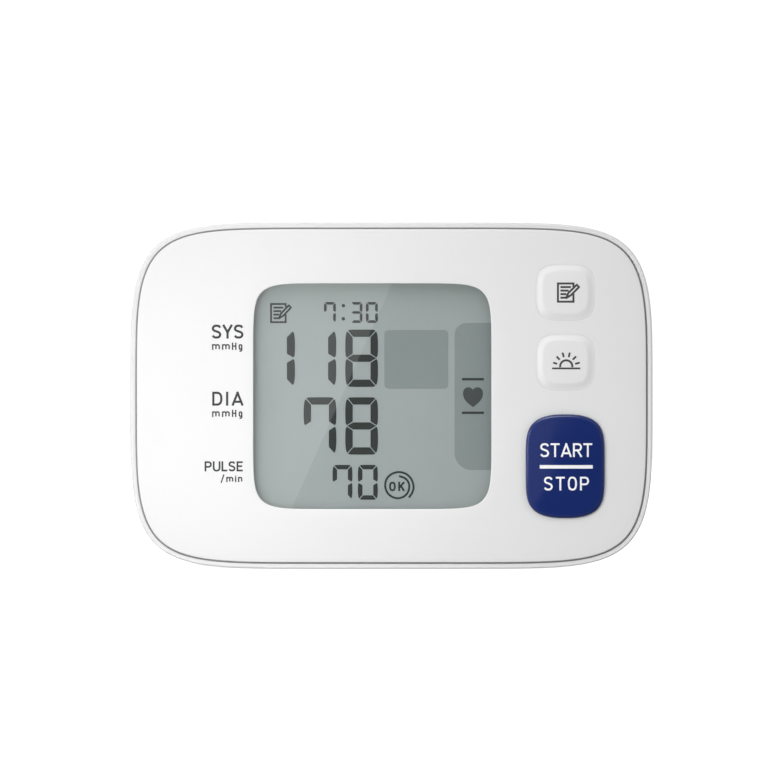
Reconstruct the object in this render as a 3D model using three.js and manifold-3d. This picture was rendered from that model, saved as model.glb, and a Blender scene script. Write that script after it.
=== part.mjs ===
// Wrist blood pressure monitor.
// A rounded plastic case with a liquid crystal display, two soft-edged keys and a blue start/stop button.
// Behind the face are the circuit board, the air pump, the release valve and two AAA cells.
// A padded air cuff, preformed into a ring for the wrist, is fixed on the back of the case.
//
// Everything is drawn in the face frame and then stood upright:
// x runs to the right across the face, y up the face, and z out of the display towards the wearer.
// z = 0 is the middle of the front face, so all that is behind the face has a negative z.

import * as THREE from "three";
import { mergeVertices } from "three/addons/utils/BufferGeometryUtils.js";
import Module from "manifold-3d";

const wasm = await Module();
wasm.setup();

// Sizes in millimetres

// Gap left between pieces that seat on each other, and how far a cutting tool runs past a face.
const seat = 0.3;
const overrun = 1;

// Front face, left to right and top to bottom.
const faceMarginLeft = 21.5;
const windowWidth = 41.7;
const columnGap = 6.05;
const startWidth = 13.7;
const faceMarginRight = 8.45;
const windowHeight = 39.5;
const faceMarginTop = 10.55;
const startHeight = 18.1;
const keyWidth = 10.2;
const keyHeight = 9.8;
const keyMarginTop = 7.3;
const keyGap = 2.4;
const startGap = 4.3;

// AAA cell, IEC LR03.
const cellDiameter = 10.5;
const cellLength = 44.5;
const cellNubDiameter = 3.8;
const cellNubHeight = 0.9;
const cellEdge = 0.5;
const cellGap = 0.6;
const cellClearance = 0.35;
const cellEndMargin = 8.05;

// Case shells.
const faceCrown = 0.4;
const faceEdgeRadius = 0.9;
const frontWall = 2.1;
const skirtDepth = 5;
const skirtWall = 1.3;
const rimWidth = 0.85;
const rimSetback = 0.9;
const rimRadius = 0.45;
const rearWall = 1.9;
const shoulderDepth = 6.6;
const backRound = 7;

// Display stack.
const lipThickness = 1.2;
const lensLip = 0.9;
const lensThickness = 1;
const lensRib = 1;
const windowChamfer = 0.3;
const glassMargin = 1.3;
const glassThickness = 1.1;
const contactLedge = 2.6;
const zebraWidth = 1.6;
const zebraEndMargin = 3.3;
const holderWall = 1.2;
const holderLedge = 2;
const boardStandoff = 1.4;
const boardThickness = 1.2;
const boardInset = 3.2;

// Buttons and their switches.
const startEdgeRadius = 0.9;
const startRise = 0.7;
const startDome = 0.4;
const startWall = 1.3;
const dishWidth = 1.4;
const dishDepth = 0.4;
const keyNeck = 6.8;
const keyLift = 0.5;
const keyEdge = 0.2;
const keySlopeWidth = 1.15;
const keySlopeHeight = 0.5;
const flangeWidth = 0.8;
const flangeThickness = 0.7;
const plungerDiameter = 3;
const pressTravel = 0.35;
const switchSize = 5;
const switchHeight = 1.5;
const stemDiameter = 2.3;
const stemLength = 1.25;
const stemProud = 0.5;
const stemFloor = 0.15;

// Battery bay, its contacts and its cover.
const bayMarginRight = 12;
const bayWall = 0.9;
const bayFloor = 0.9;
const coverWall = 1.5;
const coverSplitDepth = 9.5;
const coverTongueWidth = 6;
const coverTongueLength = 2.2;
const coverTongueThickness = 0.8;
const gripRibLength = 14;
const gripRibWidth = 1;
const gripRibProud = 0.35;
const gripRibPitch = 2.4;
const contactThickness = 0.4;
const contactWidth = 7;
const contactDrop = 2.6;
const springLength = 2.4;
const springWire = 0.6;
const springBaseRadius = 3.5;
const springTipRadius = 2.1;

// Case screws.
const screwDiameter = 2.2;
const screwHeadDiameter = 4;
const screwHeadHeight = 1.5;
const screwTipRoom = 0.8;
const postRadius = 2.2;
const wellWall = 0.9;
const wellSeatDepth = 10.6;
const cornerScrewInsetX = 9.5;
const cornerScrewInsetY = 9.5;
const recessWidth = 0.6;

// Air pump, release valve, sensor and air lines.
const motorLength = 15;
const motorWidth = 13;
const motorFlat = 10;
const motorBearing = 1.2;
const motorBearingRadius = 2.4;
const pumpY = 11;
const headLength = 14;
const headWidth = 13;
const headCorner = 1.2;
const crankChamberRadius = 4;
const crankChamberDepth = 6;
const shaftRadius = 1;
const shaftRunning = 0.15;
const crankRadius = 3;
const crankThickness = 1.6;
const crankPinRadius = 0.8;
const crankPinLength = 1.5;
const outletOffset = 3.7;
const airMargin = 27.9;
const airY = -6;
const valveLength = 9;
const valveWidth = 10;
const plungerRodRadius = 1.3;
const plungerRodLength = 6;
const plungerRodProud = 1.6;
const valveStroke = 0.6;
const nippleRadius = 1.1;
const nippleLength = 3;
const airBoreRadius = 0.6;
const hoseOuterRadius = 2.1;
const hoseBoreRadius = 1.4;
const manifoldSize = 6;
const manifoldCollarRadius = 3;
const manifoldStemRadius = 1.5;
const sensorSize = 7;
const sensorHeight = 3.6;
const sensorGap = 10;
const sensorPortDrop = 2.3;
const saddleThickness = 1.5;
const saddleSide = 1.6;
const chipSize = 10;
const chipHeight = 1.4;
const chipY = 12;
const capacitorRadius = 2.5;
const capacitorLength = 8;
const leadRadius = 0.4;
const leadSpread = 3.2;
const leadBow = 1.7;
const leadReach = 8;

// Wrist cuff.
const cuffWidth = 46;
const cuffGap = 1;
const cuffHalfDepth = 24.5;
const restFlat = 0.3;
const cuffTopDrop = 3;
const bracketWall = 1.2;
const bracketWidth = 34;
const bracketHeight = 34;
const bracketFlare = 1.2;
const bracketScrewX = 12.5;
const bracketScrewY = 12;
const bracketHeadHeight = 0.8;
const bracketScrewBite = 1.3;
const clothThickness = 0.9;
const cuffSideWall = 2.2;
const liningCorner = 1.6;
const pillowWidth = 15;
const pillowDepth = 2;
const pillowEdge = 0.8;
const curlerThickness = 1;
const curlerMargin = 9;
const bladderThickness = 1.6;
const liningThickness = 0.8;
const liningSwell = 0.7;
const snapPostRadius = 2;
const snapPostX = 9;
const snapPostY = 7;
const snapPostLength = 1;
const strapWidth = 38;
const strapThickness = 1.4;
const strapRootOverlap = 9;
const hookThickness = 0.7;
const hookMargin = 3;
const tabLength = 9;
const tabWidth = 26;
const tabLap = 3;
const tabThickness = 1;
const tabRidge = 0.5;

// Shapes given by exponents, shares and angles, which have no unit

// |x/a|^ex + |y/b|^ey = 1 is the outline of the case, the window and the buttons.
const caseExponents = [7.2, 4.4];
const windowExponents = [8.5, 8.1];
const startExponents = [2.5, 4.9];
const keyExponents = [3.6, 3.6];
const bracketExponents = [5, 5];
const cuffExponent = 2.2;
const plateauShare = 0.74;
const crownStepShares = [0.5, 0];
const domeRingShares = [0.75, 0.4];
const strapTipShare = 0.25;
const tabTipShare = 0.4;
const tabRidgeShares = [0.35, 0.6];
const pillowStepShares = [0, 0.25, 0.5, 0.75, 1];
const tabRidgeWidthShare = 0.6;
const recessReachShare = 0.35;
const recessDepthShare = 0.6;

// Angles round the cuff ring, in degrees: 0 is up, 90 is away from the case, 180 is down, 270 is the case.
const clothStart = 108;
const clothEnd = 420;
const curlerStart = 112;
const curlerEnd = 416;
const strapRoot = 112;
const strapTip = 30;
const hookFrom = 33;
const hookTo = 58;
const pocketEndMargin = 2;

// Facet counts.
const caseFacets = 44;
const windowFacets = 28;
const buttonFacets = 24;
const roundFacets = 16;
const smallFacets = 10;
const edgeSteps = 2;
const backSteps = 4;
const ringSteps = 32;
const strapSteps = 12;
const hoseSides = 8;
const leadSides = 6;
const pathSteps = 10;
const springTurns = 2;
const springStepsPerTurn = 8;
const springSides = 5;

// Places worked out from the sizes

const caseWidth = faceMarginLeft + windowWidth + columnGap + startWidth + faceMarginRight;
const caseHeight = Math.max(windowHeight + 2 * faceMarginTop, cellLength + 2 * cellEndMargin);
const halfWidth = caseWidth / 2;
const halfHeight = caseHeight / 2;

const windowX = -halfWidth + faceMarginLeft + windowWidth / 2;
const buttonX = halfWidth - faceMarginRight - startWidth / 2;
const memoryY = halfHeight - keyMarginTop - keyHeight / 2;
const morningY = memoryY - keyHeight - keyGap;
const startY = morningY - keyHeight / 2 - startGap - startHeight / 2;

const lensTop = -lipThickness - seat;
const lensBottom = lensTop - lensThickness;
const glassTop = lensBottom - seat;
const glassBottom = glassTop - 2 * glassThickness;
const boardTop = glassBottom - boardStandoff;
const boardBottom = boardTop - boardThickness;
const bayTop = boardBottom - seat;
const cellAxisZ = bayTop - bayFloor - cellClearance - cellDiameter / 2;
const coverInnerZ = cellAxisZ - cellDiameter / 2 - cellClearance;
const backZ = coverInnerZ - coverWall;
const innerBackZ = backZ + rearWall;
const faceInset = rimWidth + seat;

const glassHalfX = windowWidth / 2 + glassMargin;
const glassHalfY = windowHeight / 2 + glassMargin;
const holderHalfX = glassHalfX + seat + holderWall;
const holderHalfY = glassHalfY + seat + holderWall;

const bayRight = halfWidth - bayMarginRight;
const cell2X = bayRight - cellClearance - cellDiameter / 2;
const cell1X = cell2X - cellDiameter - cellGap;
const bayLeft = cell1X - cellDiameter / 2 - cellClearance;
const flatEndStack = seat + contactThickness + seat;
const springEndStack = flatEndStack + springLength + seat;
const bayHalfLength = (cellLength + flatEndStack + springEndStack) / 2;
const coverSplitX = bayLeft - bayWall - seat;

const cuffX = coverSplitX - cuffGap - cuffWidth / 2;
const ringHalfHeight = halfHeight - cuffTopDrop / 2;
const ringY = -cuffTopDrop / 2 - restFlat;
const ringFrontZ = backZ - seat - bracketWall - seat;
const ringZ = ringFrontZ - cuffHalfDepth;
const curlerOuter = clothThickness + seat;
const bladderOuter = curlerOuter + curlerThickness + seat;
const liningOuter = bladderOuter + bladderThickness + seat;
const cuffThickness = liningOuter + liningThickness;

const wellRadius = screwHeadDiameter / 2 + seat;
const bossRadius = wellRadius + wellWall;
const postY = holderHalfY + seat + postRadius;
const innerScrewX = coverSplitX - seat - bossRadius;
const screwPlaces = [
  [-halfWidth + cornerScrewInsetX, halfHeight - cornerScrewInsetY],
  [-halfWidth + cornerScrewInsetX, -halfHeight + cornerScrewInsetY],
  [innerScrewX, postY],
  [innerScrewX, -postY],
];

const stageTop = boardBottom - 2 * seat - 2 * leadRadius;
const stageBottom = innerBackZ + seat;
const stageZ = (stageTop + stageBottom) / 2;
const airX = -halfWidth + airMargin;
const headX0 = airX - outletOffset;
const motorX1 = headX0 - seat;
const motorX0 = motorX1 - motorLength;
const valveX1 = airX - manifoldSize / 2 - 2 * nippleLength - seat * 3;
const valveX0 = valveX1 - valveLength;

// Solids, joined and cut

const mergeTolerance = 1e-4;
const degrees = Math.PI / 180;

function solidOf(geometry) {
  const bare = geometry.clone();
  for (const name of Object.keys(bare.attributes)) {
    if (name !== "position") bare.deleteAttribute(name);
  }
  const merged = mergeVertices(bare, mergeTolerance);
  const closed = (triVerts) =>
    new wasm.Manifold(
      new wasm.Mesh({
        numProp: 3,
        vertProperties: new Float32Array(merged.attributes.position.array),
        triVerts,
      }),
    );
  const triangles = new Uint32Array(merged.index.array);
  const solid = closed(triangles);
  // A loft whose rings run the other way round comes out inside out, so its triangles are turned.
  return solid.volume() < 0 ? closed(triangles.reverse()) : solid;
}

function geometryOf(solid) {
  const mesh = solid.getMesh();
  const positions = new Float32Array(mesh.numVert * 3);
  for (let i = 0; i < mesh.numVert; i++) {
    for (let k = 0; k < 3; k++) positions[3 * i + k] = mesh.vertProperties[mesh.numProp * i + k];
  }
  const geometry = new THREE.BufferGeometry();
  geometry.setAttribute("position", new THREE.BufferAttribute(positions, 3));
  geometry.setIndex(new THREE.BufferAttribute(new Uint32Array(mesh.triVerts), 1));
  geometry.computeVertexNormals();
  return geometry;
}

const join = (...solids) => solids.reduce((a, b) => a.add(b));
const cut = (solid, ...tools) => tools.reduce((a, b) => a.subtract(b), solid);

// Points of |x/a|^ex + |y/b|^ey = 1, anticlockwise. Even turns crowd the points into the corners,
// and starting half a turn's step late leaves a flat in the middle of each side, at exactly a and b.
function outline(a, b, [ex, ey], count) {
  const flat = Math.cos(Math.PI / count);
  const points = [];
  for (let i = 0; i < count; i++) {
    const turn = (2 * Math.PI * (i + 1 / 2)) / count;
    const c = Math.cos(turn);
    const s = Math.sin(turn);
    points.push([
      a * Math.sign(c) * Math.abs(c / flat) ** (2 / ex),
      b * Math.sign(s) * Math.abs(s / flat) ** (2 / ey),
    ]);
  }
  return points;
}

// Closed surface through rings of 3D points that all have the same count, listed from low to high.
function loft(rings) {
  const count = rings[0].length;
  const vertices = rings.flat();
  const triangles = [];
  for (let r = 0; r + 1 < rings.length; r++) {
    for (let i = 0; i < count; i++) {
      const a = r * count + i;
      const b = r * count + ((i + 1) % count);
      triangles.push([a, b, b + count], [a, b + count, a + count]);
    }
  }
  const closeEnd = (ring, first, upwards) => {
    const centre = [0, 1, 2].map((k) => ring.reduce((sum, p) => sum + p[k], 0) / count);
    const hub = vertices.push(centre) - 1;
    for (let i = 0; i < count; i++) {
      const a = first + i;
      const b = first + ((i + 1) % count);
      triangles.push(upwards ? [hub, a, b] : [hub, b, a]);
    }
  };
  closeEnd(rings[0], 0, false);
  closeEnd(rings.at(-1), (rings.length - 1) * count, true);
  const geometry = new THREE.BufferGeometry();
  geometry.setAttribute("position", new THREE.Float32BufferAttribute(vertices.flat(), 3));
  geometry.setIndex(triangles.flat());
  return solidOf(geometry);
}

// Loft of one outline: each profile entry is [how far the outline is drawn in, z].
function stack(profile, halfX, halfY, exponents, count, x = 0, y = 0) {
  return loft(
    profile.map(([inset, z]) =>
      outline(halfX - inset, halfY - inset, exponents, count).map(([px, py]) => [px + x, py + y, z]),
    ),
  );
}

function block(x0, x1, y0, y1, z0, z1) {
  const geometry = new THREE.BoxGeometry(x1 - x0, y1 - y0, z1 - z0);
  return solidOf(geometry.translate((x0 + x1) / 2, (y0 + y1) / 2, (z0 + z1) / 2));
}

// Round bar between z0 and z1, or between x0 and x1 along x, or between y0 and y1 along y.
function barZ(radius, x, y, z0, z1, sides = roundFacets) {
  const geometry = new THREE.CylinderGeometry(radius, radius, z1 - z0, sides).rotateX(Math.PI / 2);
  return solidOf(geometry.translate(x, y, (z0 + z1) / 2));
}

function barX(radius, x0, x1, y, z, sides = roundFacets) {
  const geometry = new THREE.CylinderGeometry(radius, radius, x1 - x0, sides).rotateZ(Math.PI / 2);
  return solidOf(geometry.translate((x0 + x1) / 2, y, z));
}

function barY(radius, x, y0, y1, z, sides = roundFacets) {
  const geometry = new THREE.CylinderGeometry(radius, radius, y1 - y0, sides);
  return solidOf(geometry.translate(x, (y0 + y1) / 2, z));
}

// Tube along a smooth curve through the points; a bore radius makes it a hose.
function tube(points, radius, sides, steps, boreRadius = 0) {
  const curve = new THREE.CatmullRomCurve3(points.map((p) => new THREE.Vector3(...p)));
  const circle = new THREE.Shape();
  circle.absarc(0, 0, radius, 0, 2 * Math.PI, false);
  if (boreRadius > 0) {
    const bore = new THREE.Path();
    bore.absarc(0, 0, boreRadius, 0, 2 * Math.PI, true);
    circle.holes.push(bore);
  }
  const geometry = new THREE.ExtrudeGeometry(circle, {
    steps,
    curveSegments: sides / 2,
    bevelEnabled: false,
    extrudePath: curve,
  });
  return solidOf(geometry);
}

// Front cover

// How far out on the face a point lies: 0 at the middle and 1 on the edge.
function faceShare(x, y) {
  let low = 0;
  let high = 2;
  const a = halfWidth - faceInset - faceEdgeRadius;
  const b = halfHeight - faceInset - faceEdgeRadius;
  for (let i = 0; i < 30; i++) {
    const share = (low + high) / 2;
    const [ex, ey] = caseExponents;
    const reach = Math.abs(x / (share * a)) ** ex + Math.abs(y / (share * b)) ** ey;
    if (reach > 1) low = share;
    else high = share;
  }
  return high;
}

// The face is flat out to the plateau's edge and falls away from there.
const crownFall = (share) => faceCrown * (Math.max(0, share - plateauShare) / (1 - plateauShare)) ** 2;
const faceZ = (x, y) => -crownFall(faceShare(x, y));

function frontCoverBlank() {
  const profile = [
    [0, -skirtDepth],
    [0, -faceCrown - faceEdgeRadius],
  ];
  for (let i = 1; i <= edgeSteps; i++) {
    const turn = (i / edgeSteps) * (Math.PI / 2);
    profile.push([faceEdgeRadius * (1 - Math.cos(turn)), -faceCrown - faceEdgeRadius * (1 - Math.sin(turn))]);
  }
  const a = halfWidth - faceInset;
  const b = halfHeight - faceInset;
  const rings = profile.map(([inset, z]) =>
    outline(a - inset, b - inset, caseExponents, caseFacets).map(([x, y]) => [x, y, z]),
  );
  for (const step of crownStepShares) {
    const share = plateauShare + step * (1 - plateauShare);
    rings.push(
      outline((a - faceEdgeRadius) * share, (b - faceEdgeRadius) * share, caseExponents, caseFacets).map(
        ([x, y]) => [x, y, -crownFall(share)],
      ),
    );
  }
  return loft(rings);
}

// A thin shell with a frame for the lens, four screw posts and holes for the three buttons.
function frontCover() {
  const cavity = stack(
    [
      [faceInset + skirtWall, -skirtDepth - overrun],
      [faceInset + skirtWall, -frontWall],
    ],
    halfWidth, halfHeight, caseExponents, caseFacets,
  );
  let cover = cut(frontCoverBlank(), cavity);

  const pocketHalfX = windowWidth / 2 + lensLip + seat;
  const pocketHalfY = windowHeight / 2 + lensLip + seat;
  const lensFrame = stack(
    [[0, lensBottom], [0, -frontWall + seat]],
    pocketHalfX + lensRib, pocketHalfY + lensRib, windowExponents, windowFacets, windowX,
  );
  const posts = screwPlaces.map(([x, y]) => barZ(postRadius, x, y, boardTop + seat, -frontWall + seat));
  cover = join(cover, lensFrame, ...posts);

  const lensPocket = stack(
    [[0, glassTop - overrun], [0, -lipThickness]],
    pocketHalfX, pocketHalfY, windowExponents, windowFacets, windowX,
  );
  const windowHole = stack(
    [[0, -lipThickness - overrun], [0, -windowChamfer], [-windowChamfer, 0], [-windowChamfer, overrun]],
    windowWidth / 2, windowHeight / 2, windowExponents, windowFacets, windowX,
  );
  const face = faceZ(buttonX, startY);
  const startHole = stack(
    [
      [-seat, -frontWall - overrun],
      [-seat, face - dishDepth],
      [-seat - dishWidth, face + dishDepth / 2],
      [-seat - dishWidth, face + overrun],
    ],
    startWidth / 2, startHeight / 2, startExponents, buttonFacets, buttonX, startY,
  );
  const keyHoles = [memoryY, morningY].map((y) =>
    stack(
      [[-seat, -frontWall - overrun], [-seat, overrun]],
      keyNeck / 2, keyNeck / 2, keyExponents, buttonFacets, buttonX, y,
    ),
  );
  const threads = screwPlaces.map(([x, y]) =>
    barZ(screwDiameter / 2 + seat, x, y, boardTop - overrun, -frontWall, smallFacets),
  );
  return cut(cover, lensPocket, windowHole, startHole, ...keyHoles, ...threads);
}

// Rear cover and battery cover

// Outside of the rear shell: a flat back, a quarter-ellipse shoulder and the rim round the face.
function rearProfile(wall) {
  const profile = [];
  const fall = -backZ - shoulderDepth - wall;
  for (let i = backSteps; i >= 0; i--) {
    const turn = (i / backSteps) * (Math.PI / 2);
    profile.push([wall + backRound * (1 - Math.cos(turn)), -shoulderDepth - fall * Math.sin(turn)]);
  }
  return profile;
}

function rearBlank() {
  const profile = rearProfile(0);
  for (let i = 0; i <= edgeSteps; i++) {
    const turn = (i / edgeSteps) * (Math.PI / 2);
    profile.push([rimRadius * (1 - Math.cos(turn)), -rimSetback - rimRadius * (1 - Math.sin(turn))]);
  }
  return stack(profile, halfWidth, halfHeight, caseExponents, caseFacets);
}

// Room inside the shell, up to the given height, drawn in by the wall.
function shellRoom(wall, top) {
  return stack([...rearProfile(wall), [wall, top]], halfWidth, halfHeight, caseExponents, caseFacets);
}

// The part of the shell that comes off with the battery cover, drawn in by a gap.
function coverZone(gap) {
  return block(
    coverSplitX + gap, halfWidth + overrun, -halfHeight - overrun, halfHeight + overrun,
    backZ - gripRibProud - overrun, -coverSplitDepth - gap,
  );
}

function bayCavity() {
  return block(
    bayLeft, bayRight, -bayHalfLength, bayHalfLength, backZ - overrun, bayTop - bayFloor,
  );
}

// Slots in the bay's floor for the contacts that rise to the board.
function contactSlots() {
  const slot = (x0, x1, y) =>
    block(
      x0 - seat, x1 + seat, y - contactThickness / 2 - seat, y + contactThickness / 2 + seat,
      cellAxisZ, bayTop + overrun,
    );
  const y = bayHalfLength - seat - contactThickness / 2;
  return [
    slot(cell1X - contactWidth / 2, cell1X + contactWidth / 2, y),
    slot(cell2X - contactWidth / 2, cell2X + contactWidth / 2, y),
    slot(cell1X - contactWidth / 2, cell2X + contactWidth / 2, -y),
  ];
}

function motorBody(gap) {
  const round = barX(motorWidth / 2 + gap, motorX0 - gap, motorX1 + gap, pumpY, stageZ);
  const flats = block(
    motorX0 - gap, motorX1 + gap, pumpY - motorWidth, pumpY + motorWidth,
    stageZ - motorFlat / 2 - gap, stageZ + motorFlat / 2 + gap,
  );
  return round.intersect(flats);
}

// Saddles that stand on the inside of the back and carry the pump motor and the valve.
function saddles() {
  const motorSaddles = [motorX0 + saddleThickness, motorX1 - 2 * saddleThickness].map((x) =>
    block(
      x, x + saddleThickness, pumpY - motorWidth / 2 - saddleSide, pumpY + motorWidth / 2 + saddleSide,
      innerBackZ - seat, stageZ,
    ),
  );
  const valveSides = [-1, 1].map((side) => {
    const inner = airY + side * (valveWidth / 2 + seat);
    const outer = inner + side * saddleThickness;
    return block(
      valveX0 + saddleThickness, valveX1 - saddleThickness, Math.min(inner, outer), Math.max(inner, outer),
      innerBackZ - seat, stageZ,
    );
  });
  return [...motorSaddles.map((saddle) => cut(saddle, motorBody(seat))), ...valveSides];
}

function rearCover() {
  let cover = cut(
    rearBlank(),
    shellRoom(rearWall, -skirtDepth - seat),
    stack(
      [[rimWidth, -skirtDepth - seat], [rimWidth, overrun]],
      halfWidth, halfHeight, caseExponents, caseFacets,
    ),
    coverZone(0),
  );

  const bay = block(
    bayLeft - bayWall, bayRight + bayWall, -bayHalfLength - bayWall, bayHalfLength + bayWall,
    coverInnerZ + seat, bayTop,
  );
  // A web ties the bay's floor to the shell just above the cover's parting line.
  const web = block(
    coverSplitX - bayWall, halfWidth, -halfHeight, halfHeight, -coverSplitDepth, -coverSplitDepth + bayFloor,
  );
  const bulkhead = block(
    bayLeft - bayWall, bayLeft, -halfHeight, halfHeight, backZ, bayTop,
  );
  const insideCover = shellRoom(coverWall + seat, -skirtDepth - seat);
  const insideShell = shellRoom(rearWall - seat, -skirtDepth - seat);
  const boltBosses = screwPlaces.map(([x, y]) => barZ(bossRadius, x, y, backZ, boardBottom - seat));
  cover = join(
    cover,
    bay.intersect(insideCover),
    bulkhead.intersect(insideCover),
    web.intersect(insideShell),
    ...boltBosses.map((boss) => boss.intersect(shellRoom(rearWall / 2, -skirtDepth - seat))),
    ...saddles(),
  );

  const wells = screwPlaces.flatMap(([x, y]) => [
    barZ(wellRadius, x, y, backZ - overrun, -wellSeatDepth),
    barZ(screwDiameter / 2 + seat, x, y, -wellSeatDepth - overrun, boardBottom + overrun, smallFacets),
  ]);
  const stemHole = barZ(manifoldStemRadius + seat, airX, airY, backZ - overrun, innerBackZ + overrun);
  const bracketHoles = bracketScrewPlaces().map(([x, y]) =>
    barZ(screwDiameter / 2 + seat, x, y, backZ - overrun, backZ + bracketScrewBite + seat, smallFacets),
  );
  return cut(cover, bayCavity(), ...contactSlots(), ...wells, stemHole, ...bracketHoles, ...tongueNotches());
}

const tonguePlaces = [-1, 1].map((side) => side * (bayHalfLength - 2 * coverTongueWidth));

// Two tongues on the cover's left edge, level with its inside so that they slide out under the cells.
function coverTongues() {
  return tonguePlaces.map((y) =>
    block(
      coverSplitX - coverTongueLength, coverSplitX + bayWall + overrun,
      y - coverTongueWidth / 2, y + coverTongueWidth / 2,
      coverInnerZ - coverTongueThickness, coverInnerZ,
    ),
  );
}

// Notches in the inside of the fixed back, where the tongues hook in.
function tongueNotches() {
  return tonguePlaces.map((y) =>
    block(
      coverSplitX - coverTongueLength - seat, coverSplitX + seat / 2,
      y - coverTongueWidth / 2 - seat, y + coverTongueWidth / 2 + seat,
      coverInnerZ - coverTongueThickness - seat, innerBackZ + overrun,
    ),
  );
}

function batteryCover() {
  const shell = cut(
    rearBlank().intersect(coverZone(seat)),
    shellRoom(coverWall, -skirtDepth),
  );
  const grips = [-1, 0, 1].map((step) => {
    const x = (cell1X + cell2X) / 2 + step * gripRibPitch;
    return block(
      x - gripRibWidth / 2, x + gripRibWidth / 2, -gripRibLength / 2, gripRibLength / 2,
      backZ - gripRibProud, backZ + coverWall / 2,
    );
  });
  return join(shell, ...coverTongues(), ...grips);
}

// Display

function windowLens() {
  return stack(
    [[0, lensBottom], [0, lensTop]],
    windowWidth / 2 + lensLip, windowHeight / 2 + lensLip, windowExponents, windowFacets, windowX,
  );
}

// Two glasses: the front one reaches past the rear one at top and bottom, where its contacts are.
function lcdPanel() {
  const middle = glassTop - glassThickness;
  return join(
    block(windowX - glassHalfX, windowX + glassHalfX, -glassHalfY, glassHalfY, middle, glassTop),
    block(
      windowX - glassHalfX, windowX + glassHalfX, -glassHalfY + contactLedge, glassHalfY - contactLedge,
      glassBottom, middle,
    ),
  );
}

const zebraY = glassHalfY - contactLedge / 2;
const zebraHalfX = glassHalfX - zebraEndMargin;

function zebraStrip(side) {
  return block(
    windowX - zebraHalfX, windowX + zebraHalfX,
    side * zebraY - zebraWidth / 2, side * zebraY + zebraWidth / 2,
    boardTop + seat, glassTop - glassThickness - seat,
  );
}

function lcdHolder() {
  const bottom = boardTop + seat;
  const frame = block(
    windowX - holderHalfX, windowX + holderHalfX, -holderHalfY, holderHalfY, bottom, glassTop,
  );
  const pocket = block(
    windowX - glassHalfX - seat, windowX + glassHalfX + seat, -glassHalfY - seat, glassHalfY + seat,
    glassBottom - seat, glassTop + overrun,
  );
  const lightwell = block(
    windowX - glassHalfX + holderLedge, windowX + glassHalfX - holderLedge,
    -glassHalfY + contactLedge + holderLedge / 2, glassHalfY - contactLedge - holderLedge / 2,
    bottom - overrun, glassBottom,
  );
  const slots = [-1, 1].map((side) =>
    block(
      windowX - zebraHalfX - seat, windowX + zebraHalfX + seat,
      side * zebraY - zebraWidth / 2 - seat, side * zebraY + zebraWidth / 2 + seat,
      bottom - overrun, glassBottom,
    ),
  );
  return cut(frame, pocket, lightwell, ...slots);
}

// Circuit board

function mainBoard() {
  const blank = stack(
    [[boardInset, boardBottom], [boardInset, boardTop]],
    halfWidth, halfHeight, caseExponents, caseFacets,
  );
  const leftEdge = -halfWidth + cornerScrewInsetX + bossRadius + seat;
  const leftCut = block(
    -halfWidth - overrun, leftEdge, -halfHeight, halfHeight, boardBottom - overrun, boardTop + overrun,
  );
  const holes = screwPlaces.slice(2).map(([x, y]) =>
    barZ(screwDiameter / 2 + seat, x, y, boardBottom - overrun, boardTop + overrun, smallFacets),
  );
  return cut(blank, leftCut, ...holes);
}

// Buttons, drawn about their own middle with z = 0 on the face under them

// A flange holds the button in behind the face, and a plunger reaches its switch.
function buttonFoot(halfX, halfY, exponents, face) {
  const flangeTop = -frontWall - seat - face;
  const plungerEnd = boardTop + seat + switchHeight + stemProud + seat - face;
  return join(
    stack(
      [[-flangeWidth, flangeTop - flangeThickness], [-flangeWidth, flangeTop]],
      halfX, halfY, exponents, buttonFacets,
    ),
    barZ(plungerDiameter / 2, 0, 0, plungerEnd, flangeTop - flangeThickness / 2),
  );
}

function startButton(face) {
  const a = startWidth / 2;
  const b = startHeight / 2;
  const rings = [[0, -frontWall - face - seat], [0, startRise - startEdgeRadius]];
  for (let i = 1; i <= edgeSteps; i++) {
    const turn = (i / edgeSteps) * (Math.PI / 2);
    rings.push([startEdgeRadius * (1 - Math.cos(turn)), startRise - startEdgeRadius * (1 - Math.sin(turn))]);
  }
  const cap = rings.map(([inset, z]) =>
    outline(a - inset, b - inset, startExponents, buttonFacets).map(([x, y]) => [x, y, z]),
  );
  for (const share of domeRingShares) {
    cap.push(
      outline((a - startEdgeRadius) * share, (b - startEdgeRadius) * share, startExponents, buttonFacets).map(
        ([x, y]) => [x, y, startRise + startDome * (1 - share ** 2)],
      ),
    );
  }
  const hollow = stack(
    [[startWall, -frontWall - face - seat - flangeThickness - overrun], [startWall, startRise - startWall]],
    a, b, startExponents, buttonFacets,
  );
  const shell = cut(
    join(loft(cap), buttonFoot(a, b, startExponents, face)),
    hollow,
  );
  const plungerEnd = boardTop + seat + switchHeight + stemProud + seat - face;
  const plunger = barZ(plungerDiameter / 2, 0, 0, plungerEnd, startRise - startWall + seat);
  return join(shell, plunger);
}

// The key's soft slope overhangs the face, so its neck and hole don't show.
function keyCap(face) {
  const top = keyLift + keyEdge + keySlopeHeight;
  const slope = [[0, keyLift], [0, keyLift + keyEdge]];
  for (let i = 1; i <= edgeSteps; i++) {
    const share = i / edgeSteps;
    const ease = share * share * (3 - 2 * share);
    slope.push([keySlopeWidth * share, keyLift + keyEdge + keySlopeHeight * ease]);
  }
  const cap = stack(slope, keyWidth / 2, keyHeight / 2, keyExponents, buttonFacets);
  const neck = stack(
    [[0, -frontWall - face - seat - flangeThickness / 2], [0, top - keySlopeHeight]],
    keyNeck / 2, keyNeck / 2, keyExponents, buttonFacets,
  );
  return join(cap, neck, buttonFoot(keyNeck / 2, keyNeck / 2, keyExponents, face));
}

// Tact switches, drawn with z = 0 on the board

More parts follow.
